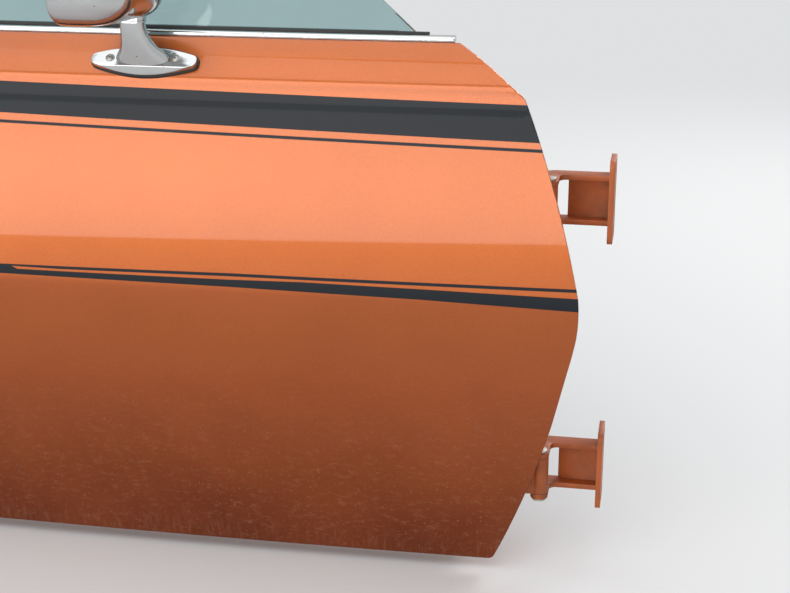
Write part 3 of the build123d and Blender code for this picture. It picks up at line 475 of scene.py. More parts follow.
class MetallicPaint(Finish):
    """Burnt-orange metallic under clearcoat, filmed with road soiling and painted shade towards its
    lower edge, with black stripes if asked.
    """

    ORANGE = (0.53, 0.125, 0.0165, 1)
    SHADE = (0.40, 0.084, 0.010, 1)
    # Road soiling mixed with painted shade, which darkens the lower door.
    ROAD_FILM_AND_SHADE = (0.118, 0.019, 0.003, 1)
    DUST = (0.42, 0.20, 0.125, 1)
    # The stripes' black carries a blue tint, which is a painted sky reflection.
    BLACK = (0.002, 0.005, 0.009, 1)
    METALLIC = 0.45
    # Heights, from the first to the second of which each kind of dust and road soiling, and the
    # painted shade, grows.
    FILM_AND_SHADE_FADE = (330.0, -30.0)
    CREASE_SHADE_FADE = (341.0, 324.0)
    DUST_FADE = (345.0, 0.0)
    RUNS_FADE = (46.0, 4.0)
    OUTER_FADE = (0.020, 0.012)

    def __init__(self, name: str, stripes: bool, coat: float, roughness: float) -> None:
        """Builds the paint.

        Args:
            name: The material's name.
            stripes: Whether the side stripes are on it.
            coat: Weight of the clear coat.
            roughness: Roughness of the colour coat.
        """
        super().__init__(
            name, Metallic=self.METALLIC, Specular_IOR_Level=0.25,
            Coat_Roughness=0.035, Coat_IOR=1.5,
        )
        graph, where = self.graph, self.where
        x, y, z = graph.node("SeparateXYZ", Vector=where).outputs
        side_x, side_z = graph.times(x, 1 / MM, -TIP_X), graph.times(z, 1 / MM, -SILL_Z)
        flakes = graph.node("TexVoronoi", Vector=where, Scale=2600.0).outputs["Color"]
        tone = graph.node("SeparateColor", Color=flakes).outputs[0]
        cloud = graph.noise(5.0, where, 4.0)
        mottle = graph.math("ADD", graph.times(tone, 0.5), graph.times(cloud, 0.5))
        film = self.film(side_z, stripes)
        colour = graph.mix(graph.ramp(mottle, 0.2, 0.8), self.SHADE, self.ORANGE)
        # Road soiling and painted shade darken the paint towards its lower edge.
        colour = graph.mix(film, colour, self.ROAD_FILM_AND_SHADE)
        colour = graph.mix(self.dust(side_z), colour, self.DUST)
        rough = graph.times(film, 0.14, roughness)
        weight = graph.math("SUBTRACT", coat, graph.times(film, coat * 0.85))
        if stripes:
            black: object = 0.0
            for stripe in STRIPES:
                black = graph.math("MAXIMUM", black, stripe.mask(graph, side_x, side_z))
            black = graph.times(black, graph.ramp(y, *self.OUTER_FADE))
            # The black stripes, their blue tint a painted sky reflection.
            colour = graph.mix(black, colour, self.BLACK)
            rough = graph.times(black, 0.10, rough)
            weight = graph.times(weight, graph.times(black, -0.85, 1.0))
            self.set(Metallic=graph.times(black, -self.METALLIC, self.METALLIC))
        broad = graph.times(graph.noise(60.0, where, 2.0), 2.0)
        peel = graph.math("ADD", graph.noise(420.0, where, 2.0), broad)
        waves = graph.bump(peel, 0.00003, 0.5)
        self.set(
            Base_Color=colour, Roughness=rough, Coat_Weight=weight,
            Normal=graph.bump(tone, 0.0004, 0.06, Normal=waves),
        )

    def film(self, height: NodeSocket, crease_shade: bool) -> NodeSocket:
        """Mask of the thin road soiling and of painted shade, growing towards the lower edge; on
        the outside a step of painted shade starts just below the crease.
        """
        graph = self.graph
        low_soiling_and_shade = graph.ramp(height, *self.FILM_AND_SHADE_FADE, (0.0, 0.55))
        if crease_shade:
            # A step of painted shade just below the crease.
            low_soiling_and_shade = graph.math("ADD", graph.ramp(height, *self.CREASE_SHADE_FADE, (0.0, 0.42)), low_soiling_and_shade)
        patchy = graph.ramp(graph.noise(7.0, self.where, 6.0, 0.65), 0.2, 0.8, (0.8, 1.0))
        return graph.times(low_soiling_and_shade, patchy)

    def dust(self, height: NodeSocket) -> NodeSocket:
        """Mask of the dust: blots and specks, and dried runs along the lower edge."""
        graph, where = self.graph, self.where
        blots = graph.noise(1.0, graph.vector("MULTIPLY", where, (75.0, 75.0, 190.0)), 5.0, 0.7)
        runs = graph.noise(1.0, graph.vector("MULTIPLY", where, (230.0, 230.0, 16.0)), 3.0)
        flat = graph.vector("MULTIPLY", where, (0.6, 0.6, 1.0))
        specks = graph.group(self.effects.specks, Where=flat, Scale=430.0, Size=0.3, Share=0.4)
        spots = graph.times(specks["Mask"], graph.times(specks["Shade"], 0.55))
        spread = graph.times(graph.ramp(blots, 0.50, 0.78), 0.45, spots)
        spread = graph.times(spread, graph.ramp(height, *self.DUST_FADE, (0.06, 0.62)))
        dried = graph.ramp(runs, 0.44, 0.72, (0.0, 0.17))
        foot = graph.times(graph.ramp(height, *self.RUNS_FADE), dried)
        return graph.math("MAXIMUM", spread, foot)


class Chrome(Finish):
    """Plated metal with hairlines, faint haze and pits that rust has started in."""

    BRIGHT = (0.54, 0.545, 0.545, 1)
    HAZY = (0.43, 0.427, 0.418, 1)
    RUST = (0.22, 0.105, 0.05, 1)

    def __init__(self) -> None:
        """Builds the plating."""
        super().__init__("Chrome", Metallic=1.0)
        graph, where = self.graph, self.where
        marks = graph.group(self.effects.scuffs, Where=where, Scale=22.0, Stretch=30.0)
        pits = graph.group(self.effects.specks, Where=where, Scale=420.0, Size=0.34, Share=0.05)
        rust = graph.times(pits["Mask"], graph.ramp(graph.noise(34.0, where, 4.0), 0.52, 0.68))
        colour = graph.mix(graph.times(marks["Smear"], 0.35), self.BRIGHT, self.HAZY)
        haze = graph.times(marks["Hairline"], 0.05, graph.times(marks["Smear"], 0.06, 0.045))
        relief = graph.math("ADD", marks["Hairline"], graph.times(rust, -3.0))
        self.set(
            Base_Color=graph.mix(rust, colour, self.RUST),
            Roughness=graph.times(rust, 0.5, haze),
            Normal=graph.bump(relief, 0.00003, 0.4),
        )


class Glass(Finish):
    """Pale green tinted glass with a little dust on it."""

    CLEAN = (0.41, 0.575, 0.58, 1)
    DUSTY = (0.39, 0.55, 0.56, 1)

    def __init__(self) -> None:
        """Builds the glass."""
        super().__init__("TintedGlass", IOR=1.5, Transmission_Weight=1.0)
        graph, where = self.graph, self.where
        film = graph.ramp(graph.noise(11.0, where, 6.0, 0.65), 0.35, 0.75)
        specks = graph.group(self.effects.specks, Where=where, Scale=300.0, Size=0.22, Share=0.03)
        self.set(
            Base_Color=graph.mix(film, self.CLEAN, self.DUSTY),
            Roughness=graph.times(specks["Mask"], 0.05, graph.times(film, 0.006)),
        )


class Silvering(Finish):
    """The mirror's reflecting glass."""

    SILVER = (0.84, 0.86, 0.86, 1)
    SPOT = (0.5, 0.48, 0.44, 1)

    def __init__(self) -> None:
        """Builds the mirror."""
        super().__init__(
            "SilveredGlass", Metallic=1.0, Coat_IOR=1.5, Coat_Roughness=0.01, Coat_Weight=0.6,
        )
        graph, where = self.graph, self.where
        spots = graph.group(self.effects.specks, Where=where, Scale=260.0, Size=0.2, Share=0.05)
        film = graph.ramp(graph.noise(40.0, where, 5.0), 0.4, 0.8)
        self.set(
            Base_Color=graph.mix(spots["Mask"], self.SILVER, self.SPOT),
            Roughness=graph.times(film, 0.03, 0.012),
        )


class Rubber(Finish):
    """Weathered black rubber, chalky on its high places."""

    BLACK = (0.014, 0.014, 0.014, 1)
    CHALK = (0.045, 0.043, 0.040, 1)
    RUBBED = (0.07, 0.068, 0.062, 1)

    def __init__(self) -> None:
        """Builds the rubber."""
        super().__init__("WeatherRubber")
        graph, where = self.graph, self.where
        worn = graph.group(self.effects.edges, Where=where, Radius=0.0012, Breakup=90.0)
        chalk = graph.ramp(graph.noise(26.0, where, 6.0, 0.65), 0.42, 0.78)
        base = graph.mix(graph.times(chalk, 0.5), self.BLACK, self.CHALK)
        self.set(
            Base_Color=graph.mix(graph.times(worn["Rubbed"], 0.4), base, self.RUBBED),
            Roughness=graph.times(chalk, 0.22, 0.58),
            Normal=graph.bump(graph.noise(900.0, where, 4.0, 0.7), 0.00012, 0.35),
        )


class Metal(Finish):
    """Bare or thinly painted fittings that show metal on their edges."""

    # Dark colour of oily soiling, and of painted shade in corners.
    GRIME_AND_SHADE = (0.045, 0.032, 0.022, 1)

    def __init__(
        self, name: str, base: Colour, worn: Colour, *,
        metallic: float, roughness: float, grime: float,
    ) -> None:
        """Builds the finish.

        Args:
            name: The material's name.
            base: Colour of the finish.
            worn: Colour where the edges are rubbed through.
            metallic: How metallic the unworn finish is.
            roughness: Its roughness.
            grime: How strongly oily soiling and painted shade darken corners and smears.
        """
        super().__init__(name)
        graph, where = self.graph, self.where
        wear = graph.group(self.effects.edges, Where=where, Radius=0.0012, Breakup=130.0)
        marks = graph.group(self.effects.scuffs, Where=where, Scale=30.0, Stretch=60.0)
        # Corners found by occlusion darken as painted shade with soiling; smears add soiling.
        dirt_and_shade = graph.math("MAXIMUM", wear["Grimy"], graph.times(marks["Smear"], 0.5))
        colour = graph.mix(graph.times(dirt_and_shade, grime), (*base, 1), self.GRIME_AND_SHADE)
        rough = graph.times(marks["Smear"], 0.18, roughness)
        self.set(
            Base_Color=graph.mix(wear["Rubbed"], colour, (*worn, 1)),
            Metallic=graph.math("MAXIMUM", wear["Rubbed"], metallic),
            Roughness=graph.times(marks["Hairline"], 0.08, rough),
            Normal=graph.bump(graph.noise(700.0, where, 4.0), 0.00008, 0.3),
        )


class Vinyl(Finish):
    """Black grained vinyl, shinier where arms rub it."""

    FRESH = (0.013, 0.013, 0.014, 1)
    WORN = (0.026, 0.025, 0.027, 1)
    # Colour of the grain's creases: painted shade.
    CREASE_SHADE = (0.006, 0.006, 0.006, 1)

    def __init__(self) -> None:
        """Builds the vinyl."""
        super().__init__("GrainedVinyl", Sheen_Weight=0.04)
        graph, where = self.graph, self.where
        grain = graph.group(self.effects.grain, Where=where, Scale=560.0)
        worn = graph.ramp(graph.noise(6.0, where, 5.0), 0.38, 0.72)
        base = graph.mix(worn, self.FRESH, self.WORN)
        self.set(
            # The grain's creases are darkened as painted shade.
            Base_Color=graph.mix(graph.times(grain["Crease"], 0.6), base, self.CREASE_SHADE),
            Roughness=graph.times(worn, -0.10, 0.44),
            Normal=graph.bump(grain["Height"], 0.00022, 0.5),
        )


class Plastic(Finish):
    """Satin or polished black mouldings with fine scratches."""

    RUBBED = (0.12, 0.12, 0.12, 1)

    def __init__(self, name: str, colour: Colour, roughness: float) -> None:
        """Builds the moulding's finish."""
        super().__init__(name)
        graph, where = self.graph, self.where
        marks = graph.group(self.effects.scuffs, Where=where, Scale=40.0, Stretch=200.0)
        wear = graph.group(self.effects.edges, Where=where, Radius=0.0008, Breakup=150.0)
        smeared = (*(c * 1.9 for c in colour), 1)
        tone = graph.mix(graph.times(marks["Smear"], 0.5), (*colour, 1), smeared)
        self.set(
            Base_Color=graph.mix(graph.times(wear["Rubbed"], 0.5), tone, self.RUBBED),
            Roughness=graph.times(marks["Hairline"], 0.16, roughness),
            Normal=graph.bump(graph.noise(1300.0, where, 3.0), 0.00004, 0.3),
        )


def build_finishes() -> dict[Slot, Material]:
    """Builds the shared groups, and from them every material, by its slot."""
    Finish.effects = Effects.build()
    made = {
        Slot.PAINT: MetallicPaint("DoorPaint", stripes=True, coat=0.72, roughness=0.34),
        Slot.SHELL: MetallicPaint("ShellPaint", stripes=False, coat=0.45, roughness=0.42),
        Slot.HINGE: Metal(
            "HingePaint", (0.40, 0.088, 0.013), (0.20, 0.17, 0.15),
            metallic=0.15, roughness=0.42, grime=0.8,
        ),
        Slot.CHROME: Chrome(),
        Slot.STEEL: Metal(
            "ZincSteel", (0.52, 0.50, 0.45), (0.70, 0.69, 0.67),
            metallic=0.9, roughness=0.34, grime=0.55,
        ),
        Slot.WINDOW: Glass(),
        Slot.REFLECTOR: Silvering(),
        Slot.RUBBER: Rubber(),
        Slot.VINYL: Vinyl(),
        Slot.SATIN_BLACK: Plastic("SatinBlack", (0.022, 0.022, 0.023), 0.40),
        Slot.KNOB: Plastic("PolishedBlack", (0.012, 0.012, 0.013), 0.16),
    }
    return {slot: finish.material for slot, finish in made.items()}


# ---------------------------------------------------------------- mesh tools


def linked(name: str, data: bpy.types.ID) -> Object:
    """A new object of the scene that holds some data."""
    made = bpy.data.objects.new(name, data)
    bpy.context.scene.collection.objects.link(made)
    return made


def mesh_object(name: str, mesh: BMesh) -> Object:
    """A new object of the scene made from a mesh, which is freed."""
    data = bpy.data.meshes.new(name)
    mesh.to_mesh(data)
    mesh.free()
    return linked(name, data)


@dataclass
class Bench:
    """Where pieces are finished: it knows the frame and the materials."""

    nodes: dict[str, Object]
    finishes: dict[Slot, Material]
    cad_flat: float = radians(1)
    cad_crisp: float = radians(28)

    def piece(
        self, name: str, mesh: BMesh, slot: Slot, *replaces: str,
        body: Body = Body.DOOR, sharp: float = SMOOTH_ANGLE,
    ) -> Object:
        """Turns a bmesh into a finished piece.

        Args:
            name: The piece's name.
            mesh: Its shape, in metres, in place.
            slot: Its material slot.
            replaces: CAD nodes that it stands for.
            body: The body it rides on.
            sharp: Edges that turn by more than this stay crisp.

        Returns:
            The piece's object.
        """
        bmesh.ops.recalc_face_normals(mesh, faces=mesh.faces)
        made = mesh_object(name, mesh)
        self.dress(made, slot)
        made.data.set_sharp_from_angle(angle=sharp)
        self.place(made, body, *replaces)
        return made

    def place(self, made: Object, body: Body, *replaces: str) -> None:
        """Puts a piece on its body, in place of the CAD nodes it stands for."""
        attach(made, body.value)
        if replaces:
            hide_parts(*replaces)
        LOG.info("%s: %d faces", made.name, len(made.data.polygons))

    def dress(self, made: Object, slot: Slot) -> None:
        """Gives an object its material and smooth shading."""
        data = made.data
        data.materials.clear()
        data.materials.append(self.finishes[slot])
        data.polygons.foreach_set("use_smooth", [True] * len(data.polygons))

    def copied(self, node: str) -> BMesh:
        """The shape of a CAD node, welded."""
        mesh = bmesh.new()
        mesh.from_mesh(self.nodes[node].data)
        bmesh.ops.remove_doubles(mesh, verts=mesh.verts, dist=WELD)
        return mesh

    def softened(
        self, node: str, slot: Slot, width: float, segments: int = 2, body: Body = Body.DOOR,
    ) -> None:
        """Adds a copy of a CAD node with its corners rounded, which stands for the node.

        Args:
            node: The CAD node.
            slot: Its material slot.
            width: Width of the rounding, in millimetres.
            segments: Faces across the rounding.
            body: The body it rides on.
        """
        mesh = self.copied(node)
        bmesh.ops.dissolve_limit(
            mesh, angle_limit=self.cad_flat, verts=mesh.verts, edges=mesh.edges,
        )
        crisp = [
            e for e in mesh.edges
            if len(e.link_faces) == 2 and e.calc_face_angle() > self.cad_crisp
        ]
        bevel(mesh, crisp, width, segments)
        self.piece(f"{node}_finish", mesh, slot, node, body=body)


def bevel(
    mesh: BMesh, geometry: Iterable, width: float, segments: int = 3, corners: bool = False,
) -> None:
    """Rounds edges, or the corners of a face, by a width in millimetres."""
    bmesh.ops.bevel(
        mesh, geom=list(geometry), offset=width * MM, offset_type="OFFSET", segments=segments,
        profile=0.5, affect="VERTICES" if corners else "EDGES", clamp_overlap=True, material=-1,
    )


def fill_holes(mesh: BMesh) -> None:
    """Closes every open edge loop of a mesh."""
    bmesh.ops.holes_fill(mesh, edges=[e for e in mesh.edges if e.is_boundary], sides=0)


def thicken(mesh: BMesh, faces: Iterable[BMFace], shift: Vector, keep: bool = True) -> list[BMFace]:
    """Pushes a copy of some faces along, with walls between, and returns the copy."""
    made = bmesh.ops.extrude_face_region(mesh, geom=list(faces), use_keep_orig=keep)["geom"]
    moved = [v for v in made if isinstance(v, bmesh.types.BMVert)]
    bmesh.ops.translate(mesh, verts=moved, vec=shift)
    return [f for f in made if isinstance(f, BMFace)]


def mark(faces: Iterable[BMFace]) -> None:
    """Tags the corners of faces; a few that slice_sheet has cut may be tagged already."""
    for face in faces:
        for vert in face.verts:
            vert.tag = True


def join(mesh: BMesh, part: BMesh, frame: Matrix) -> None:
    """Adds a part to a mesh at a frame, facing outwards, and frees it."""
    bmesh.ops.recalc_face_normals(part, faces=part.faces)
    part.transform(frame)
    data = bpy.data.meshes.new("part")
    part.to_mesh(data)
    part.free()
    mesh.from_mesh(data)
    bpy.data.meshes.remove(data)


def rounded_plate(
    mesh: BMesh, frame: Matrix, size: Point, corner: float, height: float, soften: float = 0.0,
) -> None:
    """A plate with rounded corners that stands on a frame's xy plane, in millimetres."""
    part = bmesh.new()
    bmesh.ops.create_grid(part, x_segments=1, y_segments=1, size=0.5)
    bmesh.ops.scale(part, vec=Vector((size[0] * MM, size[1] * MM, 1)), verts=part.verts)
    if corner:
        bevel(part, part.verts, corner, 6, corners=True)
    tops = thicken(part, part.faces, Vector((0, 0, height * MM)))
    if soften:
        bevel(part, {e for f in tops for e in f.edges}, soften)
    join(mesh, part, frame)


def lathe(mesh: BMesh, frame: Matrix, profile: Sequence[Point], steps: int = 28) -> None:
    """Spins a profile of radius and height, in millimetres, about a frame's z axis."""
    part = bmesh.new()
    verts = [part.verts.new((r * MM, 0, h * MM)) for r, h in profile]
    edges = [part.edges.new(pair) for pair in zip(verts, verts[1:])]
    bmesh.ops.spin(
        part, geom=verts + edges, cent=(0, 0, 0), axis=(0, 0, 1), angle=2 * pi,
        steps=steps, use_merge=True,
    )
    bmesh.ops.remove_doubles(part, verts=part.verts, dist=CLOSE)
    fill_holes(part)
    join(mesh, part, frame)


def bow_sweep(
    mesh: BMesh, section: Sequence[Point], ends: Point, steps: int, closed: bool = False,
    corners: dict[int, float] | None = None,
) -> None:
    """Sweeps a section of depth and height along the bow.

    Args:
        mesh: The mesh to build in.
        section: Its points, in millimetres.
        ends: Stations of the rear end and the front end.
        steps: Number of lengths.
        closed: Whether the section is a loop, whose ends are then capped.
        corners: Rounding of some of its points, by their index.
    """
    rear, front = ends
    verts = [mesh.verts.new(SIDE.at_station(rear, depth, z)) for depth, z in section]
    if closed:
        mesh.faces.new(verts)
        for index, width in (corners or {}).items():
            bevel(mesh, [verts[index]], width, 4, corners=True)
        bmesh.ops.delete(mesh, geom=list(mesh.faces), context="FACES_ONLY")
    else:
        for pair in zip(verts, verts[1:]):
            mesh.edges.new(pair)
    bmesh.ops.spin(
        mesh, geom=mesh.verts[:] + mesh.edges[:], cent=SIDE.axis_point, axis=(0, 0, 1),
        angle=SIDE.turn(front) - SIDE.turn(rear), steps=steps, use_duplicate=False,
    )
    if closed:
        fill_holes(mesh)


def sides_of(loop: Sequence[Point], inset: float = 0.0) -> Sides:
    """A place on each side of an outline drawn in by an inset, and the side's way out.

    Args:
        loop: Points of a convex outline of the side view, anticlockwise as seen from outboard.
        inset: How far inside the outline the sides run.

    Returns:
        A place and a unit vector for each side.
    """
    found = []
    for (x0, z0), (x1, z1) in zip(loop, [*loop[1:], loop[0]]):
        out = Vector((z1 - z0, 0, x0 - x1)).normalized()
        found.append((row(x0, 0, z0) - out * inset * MM, out))
    return found


def slice_sheet(
    mesh: BMesh, sides: Sides, clear: bool = False, near: Callable | None = None,
) -> None:
    """Cuts a sheet along the sides of an outline.

    Args:
        mesh: The sheet.
        sides: The outline's sides.
        clear: Whether what lies outside is taken away.
        near: Test of a face's middle; only faces that pass are cut.
    """
    for place, out in sides:
        faces = [f for f in mesh.faces if near is None or near(f.calc_center_median())]
        geometry = list({g for f in faces for g in (*f.verts, *f.edges, f)})
        bmesh.ops.bisect_plane(
            mesh, geom=geometry, dist=CLOSE, plane_co=place, plane_no=out, clear_outer=clear,
        )


def beyond(point: Vector, sides: Sides) -> bool:
    """Whether a place lies past any side of an outline."""
    return any((point - place).dot(out) > 0 for place, out in sides)


def bulged(start: Point, end: Point, radius: float, steps: int) -> list[Point]:
    """Points of an arc that bulges to the right of its run, its end left out."""
    chord = Vector((end[0] - start[0], end[1] - start[1]))
    out = Vector((chord.y, -chord.x)).normalized()
    back = sqrt(radius**2 - chord.length_squared / 4)
    centre = Vector(start) + chord / 2 - out * back
    sweep = 2 * asin(chord.length / 2 / radius)
    arm = Vector(start) - centre
    return [tuple(centre + Matrix.Rotation(sweep * i / steps, 2) @ arm) for i in range(steps)]


def rounded_corner(
    corner: Point, before: Point, after: Point, radius: float, steps: int = 5,
) -> list[Point]:
    """Points that round a corner of an outline."""
    here = Vector(corner)
    first, second = (Vector(before) - here).normalized(), (Vector(after) - here).normalized()
    reach = radius / tan(first.angle(second) / 2)
    start, end = here + first * reach, here + second * reach
    return [*bulged(tuple(start), tuple(end), radius, steps), tuple(end)]


def rounded_loop(corners: Sequence[Point], radii: Sequence[float], steps: int) -> list[Point]:
    """An outline with each of its corners rounded."""
    loop: list[Point] = []
    for i, (corner, radius) in enumerate(zip(corners, radii)):
        after = corners[(i + 1) % len(corners)]
        loop += rounded_corner(corner, corners[i - 1], after, radius, steps)
    return loop


def cross_screw(mesh: BMesh, frame: Matrix, radius: float, dome: float) -> None:
    """A domed screw head, its cross recess a sunk star of thin faces, on a frame's xy plane."""
    # Shares of the radius and of the dome's height, from the recess outwards.
    shares = ((0.32, 0.35), (0.36, 1.0), (0.7, 0.85), (1.0, 0.25))
    lathe(mesh, frame, [*((radius * r, dome * h) for r, h in shares), (radius, -0.6)], 24)
    for turn in (0.0, pi / 2):
        slot = shifted(frame, z=dome * 0.30) @ Matrix.Rotation(turn + 0.4, 4, "Z")
        rounded_plate(mesh, slot, (radius * 1.15, radius * 0.2), 0.0, 0.04)


# ---------------------------------------------------------------- sub-assemblies


@dataclass
class Skin:
    """Outer skin: one pressed sheet with a folded edge, and openings for the handle and lock."""

    bench: Bench
    wall: float = 1.0
    hem: float = 3.0
    hem_width: float = 12.0
    fold: float = 1.3
    fold_in: float = 0.45 * fold
    ends: Point = (-1272.0, 8.0)
    lengths: int = 96
    rear_low: Point = (-1250.0, 0.0)
    toe: Point = (-92.0, 0.0)
    chin: Point = (-6.7, 267.0)
    brow: Point = (-1.5, 337.0)
    kink: Point = (-67.5, 547.6)
    belt_front: Point = (-142.0, BELT_Z)
    rear_high: Point = (-1262.0, BELT_Z)
    # Radii of the front edge's arcs, from the toe up, and of the corners, from the lower rear one.
    arcs: tuple[float, ...] = (1220.0, 190.0, 1100.0, 355.0)
    corners: tuple[float, ...] = (42.0, 9.0, 9.0, 14.0)
    # Middle, length, height and corner of the handle's opening; middle and radius of the lock's.
    handle: tuple[float, ...] = (-1135.0, 458.0, 142.0, 34.0, 4.0)
    lock: tuple[float, float, float] = (-1196.0, 404.0, 12.5)
    sweep_foot: float = -6.0
    # Height, and number of strips below it.
    strips: tuple[tuple[float, int], ...] = (
        (CREASE_Z, 36), (STEP_Z, 26), (CREST_Z, 9), (606.0, 18),
    )
    # Height of each bend, half the width of its easing, and rounds of smoothing.
    bends: tuple[tuple[float, float, int], ...] = (
        (CREST_Z, 7.0, 3), (CREASE_Z, 10.0, 4), (STEP_Z, 5.0, 2),
    )

    def outline(self) -> list[Point]:
        """The skin's outline, anticlockwise as seen from outboard."""
        lower_arc, nose_arc, brow_arc, top_arc = self.arcs
        rear_low, toe, belt_front, rear_high = self.corners
        lower = bulged(self.toe, self.chin, lower_arc, 12)
        upper = bulged(self.kink, self.belt_front, top_arc, 6)
        return [
            *rounded_corner(self.rear_low, self.rear_high, self.toe, rear_low, 7),
            *rounded_corner(self.toe, self.rear_low, lower[1], toe),
            *lower[1:],
            *bulged(self.chin, self.brow, nose_arc, 6),
            *bulged(self.brow, self.kink, brow_arc, 12),
            *upper,
            *rounded_corner(self.belt_front, upper[-1], self.rear_high, belt_front, 3),
            *rounded_corner(self.rear_high, self.belt_front, self.rear_low, rear_high),
        ]

    def build(self) -> None:
        """Sweeps the section along the bow, trims it, opens it and folds its edge."""
        mesh = self.pressing()
        outline = self.outline()
        slice_sheet(mesh, sides_of(outline), clear=True)
        slice_sheet(mesh, sides_of(outline, self.fold))
        for vert in mesh.verts:
            if vert.is_boundary:
                vert.co.y += self.fold_in * MM
        hem_line = sides_of(outline, self.hem_width)
        slice_sheet(mesh, hem_line)
        for loop in self.openings():
            self.open(mesh, loop)
        inner = thicken(mesh, mesh.faces, Vector((0, self.wall * MM, 0)))
        ring = [f for f in inner if beyond(f.calc_center_median(), hem_line)]
        thicken(mesh, ring, Vector((0, (self.hem - self.wall) * MM, 0)), keep=False)
        self.bench.piece("skin_sheet", mesh, Slot.PAINT, "outer_skin")

    def pressing(self) -> BMesh:
        """The skin's whole face, with its bends eased."""
        levels: list[float] = []
        low = self.sweep_foot
        for high, count in self.strips:
            levels += [low + (high - low) * i / count for i in range(count)]
            low = high
        mesh = bmesh.new()
        section = [(SIDE.arc(z)[0], z) for z in [*levels, low]]
        bow_sweep(mesh, section, self.ends, self.lengths)
        for level, reach, rounds in self.bends:
            near = [v for v in mesh.verts if abs(v.co.z - row(0, 0, level).z) < reach * MM]
            for _ in range(rounds):
                bmesh.ops.smooth_vert(mesh, verts=near, factor=0.5, use_axis_y=True)
        return mesh

    def openings(self) -> list[list[Point]]:
        """Outlines of the handle's and the lock's openings."""
        x, z, length, height, corner = self.handle
        corners = [
            (x + length / 2 * i, z + height / 2 * j)
            for i, j in ((-1, -1), (1, -1), (1, 1), (-1, 1))
        ]
        x, z, radius = self.lock
        hole = [(x + radius * cos(pi * i / 8), z + radius * sin(pi * i / 8)) for i in range(16)]
        return [rounded_loop(corners, [corner] * 4, 3), hole]

    def open(self, mesh: BMesh, loop: Sequence[Point], margin: float = 12.0) -> None:
        """Takes the sheet away inside an outline, and cuts only what lies near it."""
        low = row(min(x for x, _ in loop) - margin, 0, min(z for _, z in loop) - margin)
        high = row(max(x for x, _ in loop) + margin, 0, max(z for _, z in loop) + margin)
        sides = sides_of(loop)
        slice_sheet(mesh, sides, near=lambda p: low.x < p.x < high.x and low.z < p.z < high.z)
        gone = [f for f in mesh.faces if not beyond(f.calc_center_median(), sides)]
        bmesh.ops.delete(mesh, geom=gone, context="FACES")


@dataclass
class Window:
    """Window glass: a bowed sheet with ground edges, and the belt's mouldings and seals."""

    bench: Bench
    wall: float = 4.8
    low: Point = (70.5, 520.0)
    high: Point = (198.0, 938.0)
    bulge: float = 15.2
    front: float = -184.0
    rear: float = -1228.0
    ground: float = 0.9
    sweep_foot: float = 514.0
    strip: float = 4.8
    strips: int = 90
    lengths: int = 60
    shoulder_x: float = -560.0
    shoulder_drop: float = 14.0
    rear_run: float = 46.0
    rear_drop: float = 8.4
    top_arc: float = 4300.0
    foot_corner: float = 20.0
    shoulder_corner: float = 90.0
    rear_corner: float = 38.0
    strip_ends: Point = (-1256.0, -146.0)
    strip_size: Point = (13.5, 6.5)
    strip_gap: float = 3.0

    def depth(self, height: float) -> float:
        """Depth of the outer face at a height."""
        run, rise = self.high[0] - self.low[0], self.high[1] - self.low[1]
        chord = hypot(rise, run)
        radius = arc_radius(rise, run, self.bulge)
        middle_d = (self.low[0] + self.high[0]) / 2 + (radius - self.bulge) * rise / chord
        middle_z = (self.low[1] + self.high[1]) / 2 - (radius - self.bulge) * run / chord
        return middle_d - sqrt(radius**2 - (height - middle_z) ** 2)

    def outline(self) -> list[Point]:
        """The glass's outline, anticlockwise as seen from outboard."""
        foot, top = self.low[1], self.high[1]
        belt_front, belt_rear = (self.front, BELT_Z), (self.rear, BELT_Z)
        foot_front, foot_rear = (self.front, foot), (self.rear, foot)
        shoulder = (self.shoulder_x, top - self.shoulder_drop)
        rear_top = (self.rear + self.rear_run, top - self.rear_drop)
        bend = rounded_corner(shoulder, belt_front, rear_top, self.shoulder_corner, 9)
        end = rounded_corner(rear_top, shoulder, belt_rear, self.rear_corner, 7)
        return [
            *rounded_corner(foot_rear, belt_rear, foot_front, self.foot_corner),
            *rounded_corner(foot_front, foot_rear, belt_front, self.foot_corner),
            belt_front,
            *bend[:-1],
            *bulged(bend[-1], end[0], self.top_arc, 10),
            *end,
            belt_rear,
        ]

    def build(self) -> None:
        """Builds the glass, the bright moulding and the seals."""
        mesh = bmesh.new()
        heights = [self.sweep_foot + self.strip * i for i in range(self.strips)]
        section = [(self.depth(z), z) for z in heights]
        bow_sweep(mesh, section, (self.rear - 4, self.front + 4), self.lengths)
        outline = self.outline()
        slice_sheet(mesh, sides_of(outline), clear=True)
        slice_sheet(mesh, sides_of(outline, self.ground))
        mark(thicken(mesh, mesh.faces, Vector((0, self.wall * MM, 0))))
        rim = sides_of(outline, self.ground * 0.4)
        for vert in mesh.verts:
            if beyond(vert.co, rim):
                vert.co.y += (-1 if vert.tag else 1) * self.ground * MM
        self.bench.piece("glass_sheet", mesh, Slot.WINDOW, "window_glass", sharp=radians(25))
        self.moulding()
        self.bench.softened("outer_belt_seal", Slot.RUBBER, 0.5)
        self.bench.softened("inner_belt_seal", Slot.RUBBER, 0.5)
        self.bench.softened("belt_garnish", Slot.SATIN_BLACK, 0.8)

    def moulding(self) -> None:
        """Bright moulding along the belt: a strip with its outer corners rolled."""
        thick, tall = self.strip_size
        inner = self.depth(BELT_Z) - self.strip_gap
        outer = inner - thick
        mesh = bmesh.new()
        section = [(outer, BELT_Z), (outer, BELT_Z + tall), (inner, BELT_Z + tall), (inner, BELT_Z)]
        bow_sweep(mesh, section, self.strip_ends, 80, closed=True, corners={0: 1.2, 1: 3.0})
        ends = [f for f in mesh.faces if abs(f.normal.x) > 0.9]
        bevel(mesh, {e for f in ends for e in f.edges}, 0.8, 2)
        self.bench.piece("belt_strip", mesh, Slot.CHROME, "belt_moulding")


